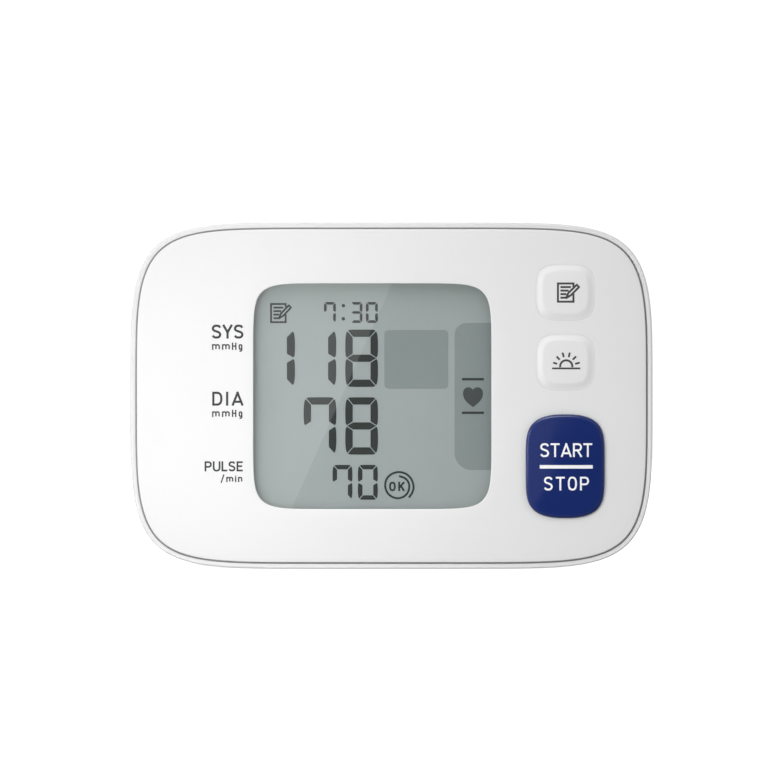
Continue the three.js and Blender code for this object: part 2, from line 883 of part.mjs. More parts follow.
function switchBase() {
  const top = seat + switchHeight;
  const boreBottom = top + stemProud - stemLength - pressTravel - stemFloor;
  return cut(
    block(-switchSize / 2, switchSize / 2, -switchSize / 2, switchSize / 2, seat, top),
    barZ(stemDiameter / 2 + seat, 0, 0, boreBottom, top + overrun),
  );
}

function switchStem() {
  const top = seat + switchHeight + stemProud;
  return barZ(stemDiameter / 2, 0, 0, top - stemLength, top);
}

// Cells, contacts and contact springs

// Cell along y with its base at y = 0 and its nub at the top.
function cell() {
  const r = cellDiameter / 2;
  const shoulder = cellLength - cellNubHeight;
  const profile = [
    [0, 0], [r - cellEdge, 0], [r, cellEdge], [r, shoulder - cellEdge], [r - cellEdge, shoulder],
    [cellNubDiameter / 2, shoulder], [cellNubDiameter / 2, cellLength], [0, cellLength],
  ];
  return solidOf(new THREE.LatheGeometry(profile.map((p) => new THREE.Vector2(...p)), roundFacets));
}

// Spring wire along a cone about y, from its wide foot at y = 0 to its tip.
function springPath(t) {
  const radius = springBaseRadius + (springTipRadius - springBaseRadius) * t;
  const turn = 2 * Math.PI * springTurns * t;
  const y = springWire / 2 + (springLength - springWire) * t;
  return new THREE.Vector3(radius * Math.cos(turn), y, radius * Math.sin(turn));
}

function contactSpring() {
  const steps = springTurns * springStepsPerTurn;
  const rings = [];
  for (let i = 0; i <= steps; i++) {
    const t = i / steps;
    const centre = springPath(t);
    const turn = 2 * Math.PI * springTurns * t;
    const outward = new THREE.Vector3(Math.cos(turn), 0, Math.sin(turn));
    const ring = [];
    for (let k = 0; k < springSides; k++) {
      const spin = (-2 * Math.PI * k) / springSides;
      const point = centre.clone().addScaledVector(outward, (Math.cos(spin) * springWire) / 2);
      point.y += (Math.sin(spin) * springWire) / 2;
      ring.push(point.toArray());
    }
    rings.push(ring);
  }
  return loft(rings);
}

// Least gap between the spring's turns, measured between points that are at least half a turn apart.
function springGap() {
  const steps = springTurns * springStepsPerTurn * 4;
  const points = Array.from({ length: steps + 1 }, (_, i) => springPath(i / steps));
  const apart = Math.round(steps / springTurns / 2);
  let least = Infinity;
  for (let i = 0; i < points.length; i++) {
    for (let j = i + apart; j < points.length; j++) least = Math.min(least, points[i].distanceTo(points[j]));
  }
  return least - springWire;
}

// Contact plate in the end of the bay: side 1 is the top end and side -1 the bottom end.
function contactPlate(x0, x1, side) {
  const y = side * (bayHalfLength - seat - contactThickness / 2);
  return block(
    x0, x1, y - contactThickness / 2, y + contactThickness / 2, cellAxisZ - contactDrop, bayTop,
  );
}

// Pump, valve, sensor and air lines

function pumpMotor() {
  const bearing = barX(motorBearingRadius, motorX0 - motorBearing, motorX0 + overrun, pumpY, stageZ);
  const bore = barX(
    shaftRadius + shaftRunning, motorX0 - motorBearing - overrun, motorX1 + overrun, pumpY, stageZ,
  );
  return cut(join(motorBody(0), bearing), bore);
}

function pumpHead() {
  const box = new THREE.Shape();
  const w = headWidth / 2;
  const h = (stageTop - stageBottom) / 2;
  box.moveTo(-w + headCorner, -h);
  box.lineTo(w - headCorner, -h);
  box.lineTo(w, -h + headCorner);
  box.lineTo(w, h - headCorner);
  box.lineTo(w - headCorner, h);
  box.lineTo(-w + headCorner, h);
  box.lineTo(-w, h - headCorner);
  box.lineTo(-w, -h + headCorner);
  box.closePath();
  const geometry = new THREE.ExtrudeGeometry(box, { depth: headLength, bevelEnabled: false, steps: 1 });
  geometry.rotateX(Math.PI / 2).rotateZ(Math.PI / 2);
  const housing = solidOf(geometry.translate(headX0, pumpY, stageZ));
  const chamber = barX(crankChamberRadius, headX0 - overrun, headX0 + crankChamberDepth, pumpY, stageZ);
  const outlet = barY(
    nippleRadius, airX, pumpY - headWidth / 2 - nippleLength, pumpY - headWidth / 2 + overrun,
    stageZ, smallFacets,
  );
  const port = barY(
    airBoreRadius, airX, pumpY - headWidth / 2 - nippleLength - overrun, pumpY - headWidth / 2 + headCorner,
    stageZ, smallFacets,
  );
  return cut(join(housing, outlet), chamber, port);
}

// Motor shaft with the crank that works the pump's diaphragms.
function pumpShaft() {
  const crankX = headX0 + seat;
  const crank = barX(crankRadius, crankX, crankX + crankThickness, pumpY, stageZ);
  const pin = barX(
    crankPinRadius, crankX, crankX + crankThickness + crankPinLength,
    pumpY + crankRadius / 2, stageZ, smallFacets,
  );
  return join(barX(shaftRadius, motorX0 - motorBearing - seat, crankX + seat, pumpY, stageZ), crank, pin);
}

function releaseValve() {
  const body = block(
    valveX0, valveX1, airY - valveWidth / 2, airY + valveWidth / 2, stageBottom, stageTop,
  );
  const nipple = barX(nippleRadius, valveX1 - overrun, valveX1 + nippleLength, airY, stageZ, smallFacets);
  const port = barX(
    airBoreRadius, valveX1 - overrun, valveX1 + nippleLength + overrun, airY, stageZ, smallFacets,
  );
  const bore = barX(
    plungerRodRadius + seat, valveX0 - overrun,
    valveX0 - plungerRodProud + plungerRodLength + valveStroke + seat, airY, stageZ,
  );
  return cut(join(body, nipple), port, bore);
}

function valvePlunger() {
  const x0 = valveX0 - plungerRodProud;
  return barX(plungerRodRadius, x0, x0 + plungerRodLength, airY, stageZ);
}

// Four-way air block; its rear stem passes through the case into the cuff's bladder.
function airManifold() {
  const h = manifoldSize / 2;
  const stemEnd = ringFrontZ - bladderOuter - bladderThickness / 2;
  const body = block(airX - h, airX + h, airY - h, airY + h, stageZ - h, stageZ + h);
  const collar = barZ(manifoldCollarRadius, airX, airY, innerBackZ + seat, stageZ);
  const stem = barZ(manifoldStemRadius, airX, airY, stemEnd, stageZ);
  const nipples = [
    barY(nippleRadius, airX, airY + h - seat, airY + h + nippleLength, stageZ, smallFacets),
    barX(nippleRadius, airX - h - nippleLength, airX - h + seat, airY, stageZ, smallFacets),
    barX(nippleRadius, airX + h - seat, airX + h + nippleLength, airY, stageZ, smallFacets),
  ];
  const passages = [
    barY(airBoreRadius, airX, airY, airY + h + nippleLength + overrun, stageZ, smallFacets),
    barX(
      airBoreRadius, airX - h - nippleLength - overrun, airX + h + nippleLength + overrun, airY,
      stageZ, smallFacets,
    ),
    barZ(airBoreRadius, airX, airY, stemEnd - overrun, stageZ, smallFacets),
  ];
  return cut(join(body, collar, stem, ...nipples), ...passages);
}

const sensorX0 = airX + manifoldSize / 2 + sensorGap;
const sensorPortZ = boardBottom - seat - sensorPortDrop;

function pressureSensor() {
  const body = block(
    sensorX0, sensorX0 + sensorSize, airY - sensorSize / 2, airY + sensorSize / 2,
    boardBottom - seat - sensorHeight, boardBottom - seat,
  );
  const port = barX(
    nippleRadius, sensorX0 - nippleLength, sensorX0 + overrun, airY, sensorPortZ, smallFacets,
  );
  return join(body, port);
}

function pumpHose() {
  const y0 = airY + manifoldSize / 2 + seat;
  const y1 = pumpY - headWidth / 2 - seat;
  return tube([[airX, y0, stageZ], [airX, y1, stageZ]], hoseOuterRadius, hoseSides, 1, hoseBoreRadius);
}

function valveHose() {
  const x0 = valveX1 + seat;
  const x1 = airX - manifoldSize / 2 - seat;
  return tube([[x0, airY, stageZ], [x1, airY, stageZ]], hoseOuterRadius, hoseSides, 1, hoseBoreRadius);
}

// Runs straight over each nipple and swings up to the sensor's port between them.
function sensorHose() {
  const x0 = airX + manifoldSize / 2 + seat;
  const x1 = sensorX0 - seat;
  const points = [
    [x0, airY, stageZ],
    [x0 + nippleLength / 2, airY, stageZ],
    [x0 + nippleLength, airY, stageZ],
    [x1 - nippleLength, airY, sensorPortZ],
    [x1 - nippleLength / 2, airY, sensorPortZ],
    [x1, airY, sensorPortZ],
  ];
  return tube(points, hoseOuterRadius, hoseSides, pathSteps, hoseBoreRadius);
}

// Thin lead from the back of the motor or the valve, over its top, to the underside of the board.
function lead(x, y) {
  const padZ = boardBottom - seat - leadRadius;
  const points = [
    [x - seat, y, stageZ + leadBow],
    [x - leadBow, y, stageZ + leadBow],
    [x - leadBow, y, padZ - leadBow],
    [x, y, padZ],
    [x + leadReach / 2, y, padZ],
    [x + leadReach, y, padZ],
  ];
  return tube(points, leadRadius, leadSides, pathSteps);
}

// Cuff

// A point on the ring's outer surface moved along the surface's normal, as [y, z]. Depth is measured inwards.
function ringPoint(angle, depth) {
  const turn = angle * degrees;
  const c = Math.cos(turn);
  const s = Math.sin(turn);
  const y = Math.sign(c) * Math.abs(c) ** (2 / cuffExponent);
  const z = Math.sign(s) * Math.abs(s) ** (2 / cuffExponent);
  const ny = (Math.sign(c) * Math.abs(y) ** (cuffExponent - 1)) / ringHalfHeight;
  const nz = (Math.sign(s) * Math.abs(z) ** (cuffExponent - 1)) / cuffHalfDepth;
  const length = Math.hypot(ny, nz);
  return [
    ringY + ringHalfHeight * y - (depth * ny) / length,
    ringZ - cuffHalfDepth * z + (depth * nz) / length,
  ];
}

// Band swept round the ring. The section lists [x from the cuff's middle, depth] anticlockwise, seen with
// depth up.
function band(sectionAt, from, to, steps) {
  const rings = [];
  for (let i = 0; i <= steps; i++) {
    const angle = from + ((to - from) * i) / steps;
    rings.push(
      sectionAt(i / steps).map(([x, depth]) => {
        const [y, z] = ringPoint(angle, depth);
        return [cuffX + x, y, z];
      }),
    );
  }
  return loft(rings);
}

const flatSection = (width, outer, inner) => () => [
  [-width / 2, outer], [width / 2, outer], [width / 2, inner], [-width / 2, inner],
];

// Padded cloth falls away towards its side seams like a pillow.
const clothSection = () => {
  const w = cuffWidth / 2;
  const inner = liningOuter - seat;
  const pillow = pillowStepShares.map((t) => [w - pillowEdge - pillowWidth * (1 - t), pillowDepth * t * t]);
  const right = [...pillow, [w, pillowDepth + pillowEdge], [w, inner]];
  const left = right.map(([x, depth]) => [-x, depth]).reverse();
  return [...right, ...left];
};

// The lining swells towards the wrist between its sewn edges.
const liningSection = () => {
  const w = cuffWidth / 2;
  return [
    [-w, liningOuter], [w, liningOuter], [w, liningOuter + liningThickness / 2],
    [w - liningCorner, cuffThickness], [w / 2, cuffThickness + liningSwell],
    [-w / 2, cuffThickness + liningSwell], [-w + liningCorner, cuffThickness],
    [-w, liningOuter + liningThickness / 2],
  ];
};

// The table flattens the cuff's lowest part.
function floorCut() {
  return block(
    cuffX - cuffWidth, cuffX + cuffWidth, -halfHeight - caseHeight, -halfHeight,
    ringZ - 2 * cuffHalfDepth, ringZ + 2 * cuffHalfDepth,
  );
}

const cuffAirHole = () => barZ(
  manifoldStemRadius + seat, airX, airY,
  ringFrontZ - bladderOuter - bladderThickness + seat, ringFrontZ + overrun,
);

const snapPostPlaces = () => [-1, 1].map((side) => [cuffX + side * snapPostX, snapPostY]);

// The cloth's pocket is shallow at the sides, where the pillow falls away, and deeper where the curler lies.
function clothCover() {
  const blank = band(clothSection, clothStart, clothEnd, ringSteps);
  const pocket = (margin, outer, inner) => band(
    flatSection(cuffWidth - 2 * margin, outer, inner),
    clothStart + pocketEndMargin, clothEnd - pocketEndMargin, ringSteps,
  );
  const curlerPocket = pocket(curlerMargin, clothThickness, liningOuter + overrun);
  const bladderPocket = pocket(cuffSideWall, bladderOuter - seat, liningOuter + overrun);
  const postHoles = snapPostPlaces().map(([x, y]) =>
    barZ(snapPostRadius + seat, x, y, ringFrontZ - 2 * curlerOuter - seat, ringFrontZ + overrun),
  );
  return cut(blank, curlerPocket, bladderPocket, floorCut(), cuffAirHole(), ...postHoles);
}

function curler() {
  const width = cuffWidth - 2 * (curlerMargin + seat);
  const along = (outer, inner) => band(flatSection(width, outer, inner), curlerStart, curlerEnd, ringSteps);
  const shell = along(curlerOuter, curlerOuter + curlerThickness);
  const posts = snapPostPlaces().map(([x, y]) =>
    barZ(snapPostRadius, x, y, ringFrontZ - curlerOuter - curlerThickness, ringFrontZ + snapPostLength),
  );
  const inside = along(curlerOuter + curlerThickness / 2, -cuffHalfDepth / 2);
  return cut(join(shell, ...posts.map((post) => post.intersect(inside))), cuffAirHole());
}

function airBladder() {
  const width = cuffWidth - 2 * (cuffSideWall + seat);
  return cut(
    band(
      flatSection(width, bladderOuter, bladderOuter + bladderThickness), curlerStart, curlerEnd, ringSteps,
    ),
    cuffAirHole(),
  );
}

function cuffLining() {
  return band(liningSection, clothStart, clothEnd, ringSteps);
}

const bracketScrewPlaces = () =>
  [-1, 1].flatMap((sx) => [-1, 1].map((sy) => [cuffX + sx * bracketScrewX, sy * bracketScrewY]));

// Where the ring's outer surface lies on the case's side, at a height on the case.
function ringSurfaceZ(y) {
  const share = Math.abs((y - ringY) / ringHalfHeight) ** cuffExponent;
  return ringZ + cuffHalfDepth * (1 - share) ** (1 / cuffExponent);
}

// Saddle between the flat back and the round cuff, screwed to the case under the cuff.
function cuffBracket() {
  const front = backZ - seat;
  const profile = [
    [bracketFlare, ringZ], [bracketFlare, front - 2 * bracketFlare], [0, front - bracketWall / 2], [0, front],
  ];
  const blank = stack(
    profile,
    bracketWidth / 2 + bracketFlare, bracketHeight / 2 + bracketFlare,
    bracketExponents, buttonFacets, cuffX,
  );
  const ring = [];
  for (const x of [cuffX - cuffWidth, cuffX + cuffWidth]) {
    ring.push(
      Array.from({ length: ringSteps }, (_, i) => {
        const [y, z] = ringPoint((360 * i) / ringSteps, -seat);
        return [x, y, z];
      }),
    );
  }
  const seatRing = loft(ring);
  const postHoles = snapPostPlaces().map(([x, y]) =>
    barZ(snapPostRadius + seat, x, y, ringZ, backZ + overrun),
  );
  const screwHoles = bracketScrewPlaces().flatMap(([x, y]) => [
    barZ(screwDiameter / 2 + seat, x, y, ringZ, backZ + overrun, smallFacets),
    barZ(screwHeadDiameter / 2 + seat, x, y, ringZ, bracketHeadZ(y) + seat),
  ]);
  const stemHole = barZ(manifoldStemRadius + seat, airX, airY, ringZ, backZ + overrun);
  return cut(blank, seatRing, ...postHoles, ...screwHoles, stemHole);
}

// Underside of a bracket screw's head, which keeps clear of the cuff all over.
function bracketHeadZ(y) {
  const nearest = y - Math.sign(y - ringY) * (screwHeadDiameter / 2 + seat);
  return ringSurfaceZ(nearest) + seat + bracketHeadHeight;
}

// Strap: its root is sewn on the cuff, and its free part peels off the cuff's outside

const strapOuter = -(seat + hookThickness + seat + strapThickness);
const strapInner = -(seat + hookThickness + seat);

// Degrees of ring that a length takes near the strap's root.
const rootAngle = (length) => length / cuffHalfDepth / degrees;

// The strap narrows to a round tip at its start.
function strapSection(width, outer, inner, roundShare) {
  return (t) => {
    const past = Math.max(0, 1 - t / roundShare);
    const w = (width / 2) * (1 - roundShare * (1 - Math.sqrt(1 - past * past)));
    return [[-w, outer], [w, outer], [w, inner], [-w, inner]];
  };
}

function strapRootPatch() {
  const start = strapRoot + rootAngle(seat / 2);
  const end = strapRoot + rootAngle(strapRootOverlap);
  return band(flatSection(strapWidth, strapOuter, -seat), start, end, strapSteps / 2);
}

function cuffStrap() {
  return band(
    strapSection(strapWidth, strapOuter, strapInner, strapTipShare),
    strapTip, strapRoot - rootAngle(seat / 2), strapSteps,
  );
}

function hookPad() {
  return band(
    flatSection(strapWidth - 2 * hookMargin, -(seat + hookThickness), -seat),
    hookFrom, hookTo, strapSteps / 2,
  );
}

// Pull tab moulded over the strap's tip, with two finger ridges.
function strapTab() {
  const from = strapTip + rootAngle(tabLap - tabLength);
  const to = strapTip + rootAngle(tabLap);
  const outer = strapOuter - seat;
  const plate = band(strapSection(tabWidth, outer - tabThickness, outer, tabTipShare), from, to, strapSteps);
  const ridges = tabRidgeShares.map((share) => {
    const at = from + share * (to - from);
    return band(
      flatSection(tabWidth * tabRidgeWidthShare, outer - tabThickness - tabRidge, outer - tabThickness / 2),
      at - rootAngle(tabThickness / 2), at + rootAngle(tabThickness / 2), 1,
    );
  });
  return join(plate, ...ridges);
}

// Screws, drawn along z with the underside of the head at z = 0 and the tip upwards

function screw(length, headHeight) {
  const head = barZ(screwHeadDiameter / 2, 0, 0, -headHeight, 0, smallFacets);
  const shank = barZ(screwDiameter / 2, 0, 0, -headHeight / 2, length, smallFacets);
  const reach = screwHeadDiameter * recessReachShare;
  const depth = headHeight * recessDepthShare;
  const cross = [
    block(-reach, reach, -recessWidth / 2, recessWidth / 2, -headHeight - overrun, -headHeight + depth),
    block(-recessWidth / 2, recessWidth / 2, -reach, reach, -headHeight - overrun, -headHeight + depth),
  ];
  return cut(join(head, shank), ...cross);
}

// Materials

const material = (color, roughness, metalness = 0) =>
  new THREE.MeshStandardMaterial({ color, roughness, metalness });
const whitePlastic = material(0xe9eaeb, 0.35);
const bluePlastic = material(0x202f6b, 0.25);
const clearPlastic = new THREE.MeshStandardMaterial({
  color: 0xdfe7e6, roughness: 0.05, transparent: true, opacity: 0.3,
});
const displayGlass = material(0xa5b0ae, 0.2);
const greyPlastic = material(0x8d9194, 0.5);
const boardGreen = material(0x1f5a3a, 0.5);
const blackPlastic = material(0x1e1f21, 0.5);
const silicone = material(0xd9dad5, 0.6);
const steel = material(0xb9bcc0, 0.3, 1);
const cellJacket = material(0x3a3d42, 0.35, 0.2);
const cuffCloth = material(0x6f767d, 0.95);
const liningCloth = material(0x4c5157, 0.95);
const hookNylon = material(0x2c2f33, 0.9);
const bladderFilm = material(0x9fa6a4, 0.5);
const leadRed = material(0x9e2b25, 0.5);

// Assembly

const faceFrame = new THREE.Group();

function add(name, solid, look, x = 0, y = 0, z = 0) {
  const mesh = new THREE.Mesh(geometryOf(solid), look);
  mesh.name = name;
  mesh.position.set(x, y, z);
  faceFrame.add(mesh);
  return mesh;
}

add("front_cover", frontCover(), whitePlastic);
add("rear_cover", rearCover(), whitePlastic);
add("battery_cover", batteryCover(), whitePlastic);
add("window_lens", windowLens(), clearPlastic);
add("lcd_panel", lcdPanel(), displayGlass);
add("lcd_holder", lcdHolder(), greyPlastic);
add("zebra_strip_upper", zebraStrip(1), blackPlastic);
add("zebra_strip_lower", zebraStrip(-1), blackPlastic);
add("main_board", mainBoard(), boardGreen);

const buttons = [
  ["start_stop", startY, startButton, bluePlastic],
  ["memory", memoryY, keyCap, whitePlastic],
  ["morning", morningY, keyCap, whitePlastic],
];
for (const [name, y, shape, look] of buttons) {
  const face = faceZ(buttonX, y);
  add(`${name}_button`, shape(face), look, buttonX, y, face);
  add(`${name}_switch_base`, switchBase(), blackPlastic, buttonX, y, boardTop);
  add(`${name}_switch_stem`, switchStem(), steel, buttonX, y, boardTop);
}

const cellFootY = bayHalfLength - flatEndStack - cellLength;
add("battery_cell_1", cell(), cellJacket, cell1X, cellFootY, cellAxisZ);
const cell2 = add("battery_cell_2", cell(), cellJacket, cell2X, -cellFootY, cellAxisZ);
cell2.rotation.z = Math.PI;

const halfContact = contactWidth / 2;
add("contact_positive", contactPlate(cell1X - halfContact, cell1X + halfContact, 1), steel);
add("contact_negative", contactPlate(cell2X - halfContact, cell2X + halfContact, 1), steel);
add("contact_bridge", contactPlate(cell1X - halfContact, cell2X + halfContact, -1), steel);
const springFoot = bayHalfLength - seat - contactThickness - seat;
add("contact_spring_1", contactSpring(), steel, cell1X, -springFoot, cellAxisZ);
const upperSpring = add("contact_spring_2", contactSpring(), steel, cell2X, springFoot, cellAxisZ);
upperSpring.rotation.z = Math.PI;

add("pump_motor", pumpMotor(), steel);
add("pump_head", pumpHead(), blackPlastic);
add("pump_shaft", pumpShaft(), steel);
add("release_valve", releaseValve(), greyPlastic);
add("valve_plunger", valvePlunger(), steel);
add("air_manifold", airManifold(), whitePlastic);
add("pump_hose", pumpHose(), silicone);
add("valve_hose", valveHose(), silicone);
add("sensor_hose", sensorHose(), silicone);
add("pressure_sensor", pressureSensor(), blackPlastic);
add(
  "main_chip",
  block(-chipSize / 2, chipSize / 2, -chipSize / 2, chipSize / 2, -seat - chipHeight, -seat),
  blackPlastic, sensorX0 + sensorSize / 2, chipY, boardBottom,
);
add(
  "filter_capacitor",
  barX(capacitorRadius, 0, capacitorLength, 0, -seat - capacitorRadius),
  blackPlastic, headX0 + capacitorLength / 2, pumpY + headWidth / 2 + capacitorRadius + 2 * seat, boardBottom,
);
for (const side of [-1, 1]) {
  const label = side > 0 ? "positive" : "negative";
  const look = side > 0 ? leadRed : blackPlastic;
  add(`motor_lead_${label}`, lead(motorX0, pumpY + side * leadSpread), look);
  add(`valve_lead_${label}`, lead(valveX0, airY + side * leadSpread), look);
}

const caseScrewLength = wellSeatDepth - frontWall - screwTipRoom;
screwPlaces.forEach(([x, y], i) => {
  add(`case_screw_${i + 1}`, screw(caseScrewLength, screwHeadHeight), steel, x, y, -wellSeatDepth - seat);
});
bracketScrewPlaces().forEach(([x, y], i) => {
  const headZ = bracketHeadZ(y);
  const length = backZ + bracketScrewBite - headZ;
  add(`bracket_screw_${i + 1}`, screw(length, bracketHeadHeight), steel, x, y, headZ);
});

add("cuff_bracket", cuffBracket(), whitePlastic);
add("cuff_cover", clothCover(), cuffCloth);
add("cuff_curler", curler(), greyPlastic);
add("air_bladder", airBladder(), bladderFilm);
add("cuff_lining", cuffLining(), liningCloth);
add("strap_root", strapRootPatch(), cuffCloth);
add("cuff_strap", cuffStrap(), cuffCloth);
add("hook_pad", hookPad(), hookNylon);
add("strap_tab", strapTab(), greyPlastic);

console.log(`least gap in a contact spring ${springGap().toFixed(2)} mm`);

// The face frame is turned upright, so that the display looks along -Y, and stands on the middle of its base.
const monitor = new THREE.Group();
monitor.add(faceFrame);
faceFrame.rotation.x = Math.PI / 2;
const reach = new THREE.Box3().setFromObject(monitor);
faceFrame.position.set(0, -(reach.min.y + reach.max.y) / 2, halfHeight);

export default monitor;
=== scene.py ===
# Looks of the wrist blood pressure monitor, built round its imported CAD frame.
# Shapes are drawn in the face frame, in millimetres: x to the right, y up, z out of the display,
# with z = 0 on the front face. place() turns them into the row frame, in metres.

import math

import bmesh
import bpy
import numpy as np
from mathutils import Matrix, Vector
from mathutils.geometry import delaunay_2d_cdt


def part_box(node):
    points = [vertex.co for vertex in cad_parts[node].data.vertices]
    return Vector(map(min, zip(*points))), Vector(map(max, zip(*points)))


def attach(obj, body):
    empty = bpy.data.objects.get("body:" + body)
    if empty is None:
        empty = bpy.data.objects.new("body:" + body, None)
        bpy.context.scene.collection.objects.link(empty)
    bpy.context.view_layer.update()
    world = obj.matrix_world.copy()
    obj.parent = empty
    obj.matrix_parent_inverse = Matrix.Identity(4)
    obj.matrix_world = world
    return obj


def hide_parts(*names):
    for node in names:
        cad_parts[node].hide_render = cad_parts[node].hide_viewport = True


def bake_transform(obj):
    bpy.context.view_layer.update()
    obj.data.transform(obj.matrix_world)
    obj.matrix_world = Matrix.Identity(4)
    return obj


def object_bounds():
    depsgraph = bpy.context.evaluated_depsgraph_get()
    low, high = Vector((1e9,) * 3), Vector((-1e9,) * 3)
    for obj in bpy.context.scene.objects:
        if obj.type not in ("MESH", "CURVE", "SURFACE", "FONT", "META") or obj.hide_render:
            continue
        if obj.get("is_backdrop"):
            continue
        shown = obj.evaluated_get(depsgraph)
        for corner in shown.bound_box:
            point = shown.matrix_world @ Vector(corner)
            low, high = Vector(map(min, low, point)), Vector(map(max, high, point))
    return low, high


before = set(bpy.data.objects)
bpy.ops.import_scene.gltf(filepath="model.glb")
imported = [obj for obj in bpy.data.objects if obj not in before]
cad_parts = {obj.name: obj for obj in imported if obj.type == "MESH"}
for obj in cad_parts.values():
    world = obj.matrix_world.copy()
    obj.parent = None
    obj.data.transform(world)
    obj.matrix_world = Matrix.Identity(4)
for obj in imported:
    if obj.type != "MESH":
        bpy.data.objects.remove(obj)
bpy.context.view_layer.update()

MM = 0.001
FACE_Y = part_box("front_cover")[0][1]
rear_low, rear_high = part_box("rear_cover")
MID_Z = (rear_low[2] + rear_high[2]) / 2

# Sizes repeated from the part's source, in millimetres.
SEAT = 0.3
HALF_WIDTH = 45.7
HALF_HEIGHT = 30.3
FACE_INSET = 1.15
PLATEAU_SHARE = 0.74
FRONT_WALL = 2.1
SKIRT_DEPTH = 5.0
SKIRT_WALL = 1.3
WINDOW_X = -3.35
WINDOW_HALF_X = 20.85
WINDOW_HALF_Y = 19.75
LIP = 1.2
LENS_LIP = 0.9
LENS_TOP = -1.5
LENS_BOTTOM = -2.5
LENS_CHAMFER = 0.1
GLASS_TOP = -2.8
GLASS_BOTTOM = -5.0
GLASS_HALF_X = WINDOW_HALF_X + 1.3
GLASS_HALF_Y = WINDOW_HALF_Y + 1.3
CONTACT_LEDGE = 2.6
BUTTON_X = 30.4
START_RISE = 0.7
START_DOME = 0.4
DISH_WIDTH = 1.4
KEY_NECK = 3.4
FLANGE_WIDTH = 0.8
FLANGE_THICKNESS = 0.7
PLUNGER_RADIUS = 1.5
PLUNGER_END = -3.8
RIM_WIDTH = 0.85
SHOULDER_DEPTH = 6.6
BACK_ROUND = 7.0
BACK_Z = -21.5
REAR_WALL = 1.9
COVER_WALL = 1.5
COVER_INNER_Z = -20.0
COVER_SPLIT_X = 10.2
COVER_SPLIT_DEPTH = 9.5
TONGUE_PLACES = (-12.45, 12.45)
TONGUE_HALF = 3.0
TONGUE_X = (8.0, 12.1)
TONGUE_BOTTOM = -20.8
GRIP_RIB = (7, 0.5)
GRIP_RIB_PITCH = 2.4
BAY = (11.4, 33.7, -24.45, 24.45)
BAY_TOP = -7.9
BAY_WALL = 0.9
CELL_Z = -14.4
CELL_X = (17.0, 28.1)
CELL_RADIUS = 5.25
CELL_LENGTH = 44.5
SCREW_PLACES = ((-36.2, 20.8), (-36.2, -20.8), (6.7, 25.05), (6.7, -25.05))
SHANK_RADIUS = 1.4
WELL_RADIUS = 2.3
WELL_DEPTH = -10.6
AIR_PLACE = (-17.8, -6.0)
AIR_RADIUS = 1.8
CUFF_X = -13.8
CUFF_WIDTH = 46.0
PILLOW_WIDTH = 15.0
PILLOW_DEPTH = 2.0
PILLOW_EDGE = 0.8
CURLER_MARGIN = 9.0
CURLER_OUTER = 0.9
BLADDER_HALF = 20.8
BLADDER_OUTER = 2.2
RING_EXPONENT = 2.2
RING_HALF_HEIGHT = 28.8
RING_HALF_DEPTH = 24.5
RING_Y = -1.8
RING_Z = -23.3 - RING_HALF_DEPTH
CLOTH_FROM = 108.0
CLOTH_TO = 420.0
LINING_OUTER = 4.4
STRAP_WIDTH = 38.0
STRAP_OUTER = -2.7
STRAP_INNER = -1.3
STRAP_ROOT = 112.0
STRAP_TIP = 30.0
ROOT_OVERLAP = 9.0
HOOK_WIDTH = 32.0
HOOK_FROM = 33.0
HOOK_TO = 58.0
TAB_WIDTH = 26.0
TAB_LENGTH = 9.0
TAB_LAP = 3.0

# Finer forms that only the pieces here have, in millimetres.
FACE_CROWN = 0.12
FACE_EDGE = 0.14
WINDOW_EDGE = 0.12
WINDOW_DROP = 0.09
DISH_DEPTH = 0.12
START_EDGE = 0.7
KEY_FOOT = -1.9
KEY_SLOPE_WIDTH = 1.35
KEY_RISE = 0.38
CAP_GAP = 0.05
KEY_GAP = 0.02
RIM_SETBACK = 0.35
RIM_RADIUS = 0.35
RIM_SLOPE = 0.33
JOINT_FLOOR = -1.1
JOINT_INSET = 1.5
# The grey ring in the covers' groove is painted shade: its top and its gap to the walls.
SHADE_RING_TOP = -0.68
SHADE_RING_GAP = 0.02
MARK = 0.03
SEAM = 3.0
STITCH_RADIUS = 0.15

# The photograph's scale and size, and the place of its middle on the case.
PHOTO_MM = 0.175
PHOTO_SIZE = (780, 781)
PHOTO_X = 391.5
PHOTO_Y = 395.75


def place(points):
    """Points of the face frame, in millimetres, as points of the row frame, in metres."""
    p = np.asarray(points, float)
    return np.stack([p[:, 0] * MM, FACE_Y - p[:, 2] * MM, MID_Z + p[:, 1] * MM], 1)


def pairs(text):
    """The numbers of a line of text, two by two."""
    numbers = [float(n) for n in text.split()]
    return list(zip(numbers[::2], numbers[1::2]))


def photo(points):
    """Pixels of the photograph as millimetres on the face."""
    points = pairs(points) if isinstance(points, str) else points
    return [((x - PHOTO_X) * PHOTO_MM, (PHOTO_Y - y) * PHOTO_MM) for x, y in points]


def show(obj):
    bpy.context.scene.collection.objects.link(obj)
    return obj


def feed(tree, node, inputs):
    """Gives each input a value, or the socket that feeds it."""
    for name, value in dict(inputs).items():
        if isinstance(value, bpy.types.NodeSocket):
            tree.links.new(value, node.inputs[name])
        else:
            node.inputs[name].default_value = value


def add_node(tree, kind, inputs=(), **settings):
    node = tree.nodes.new("ShaderNode" + kind)
    for name, value in settings.items():
        setattr(node, name, value)
    feed(tree, node, inputs)
    return node


def maths(tree, operation, *values):
    return add_node(tree, "Math", enumerate(values), operation=operation).outputs[0]


# Camera and lights

LENS = 500.0
SENSOR = 36.0
CAMERA_AWAY = PHOTO_SIZE[1] * PHOTO_MM / SENSOR * LENS

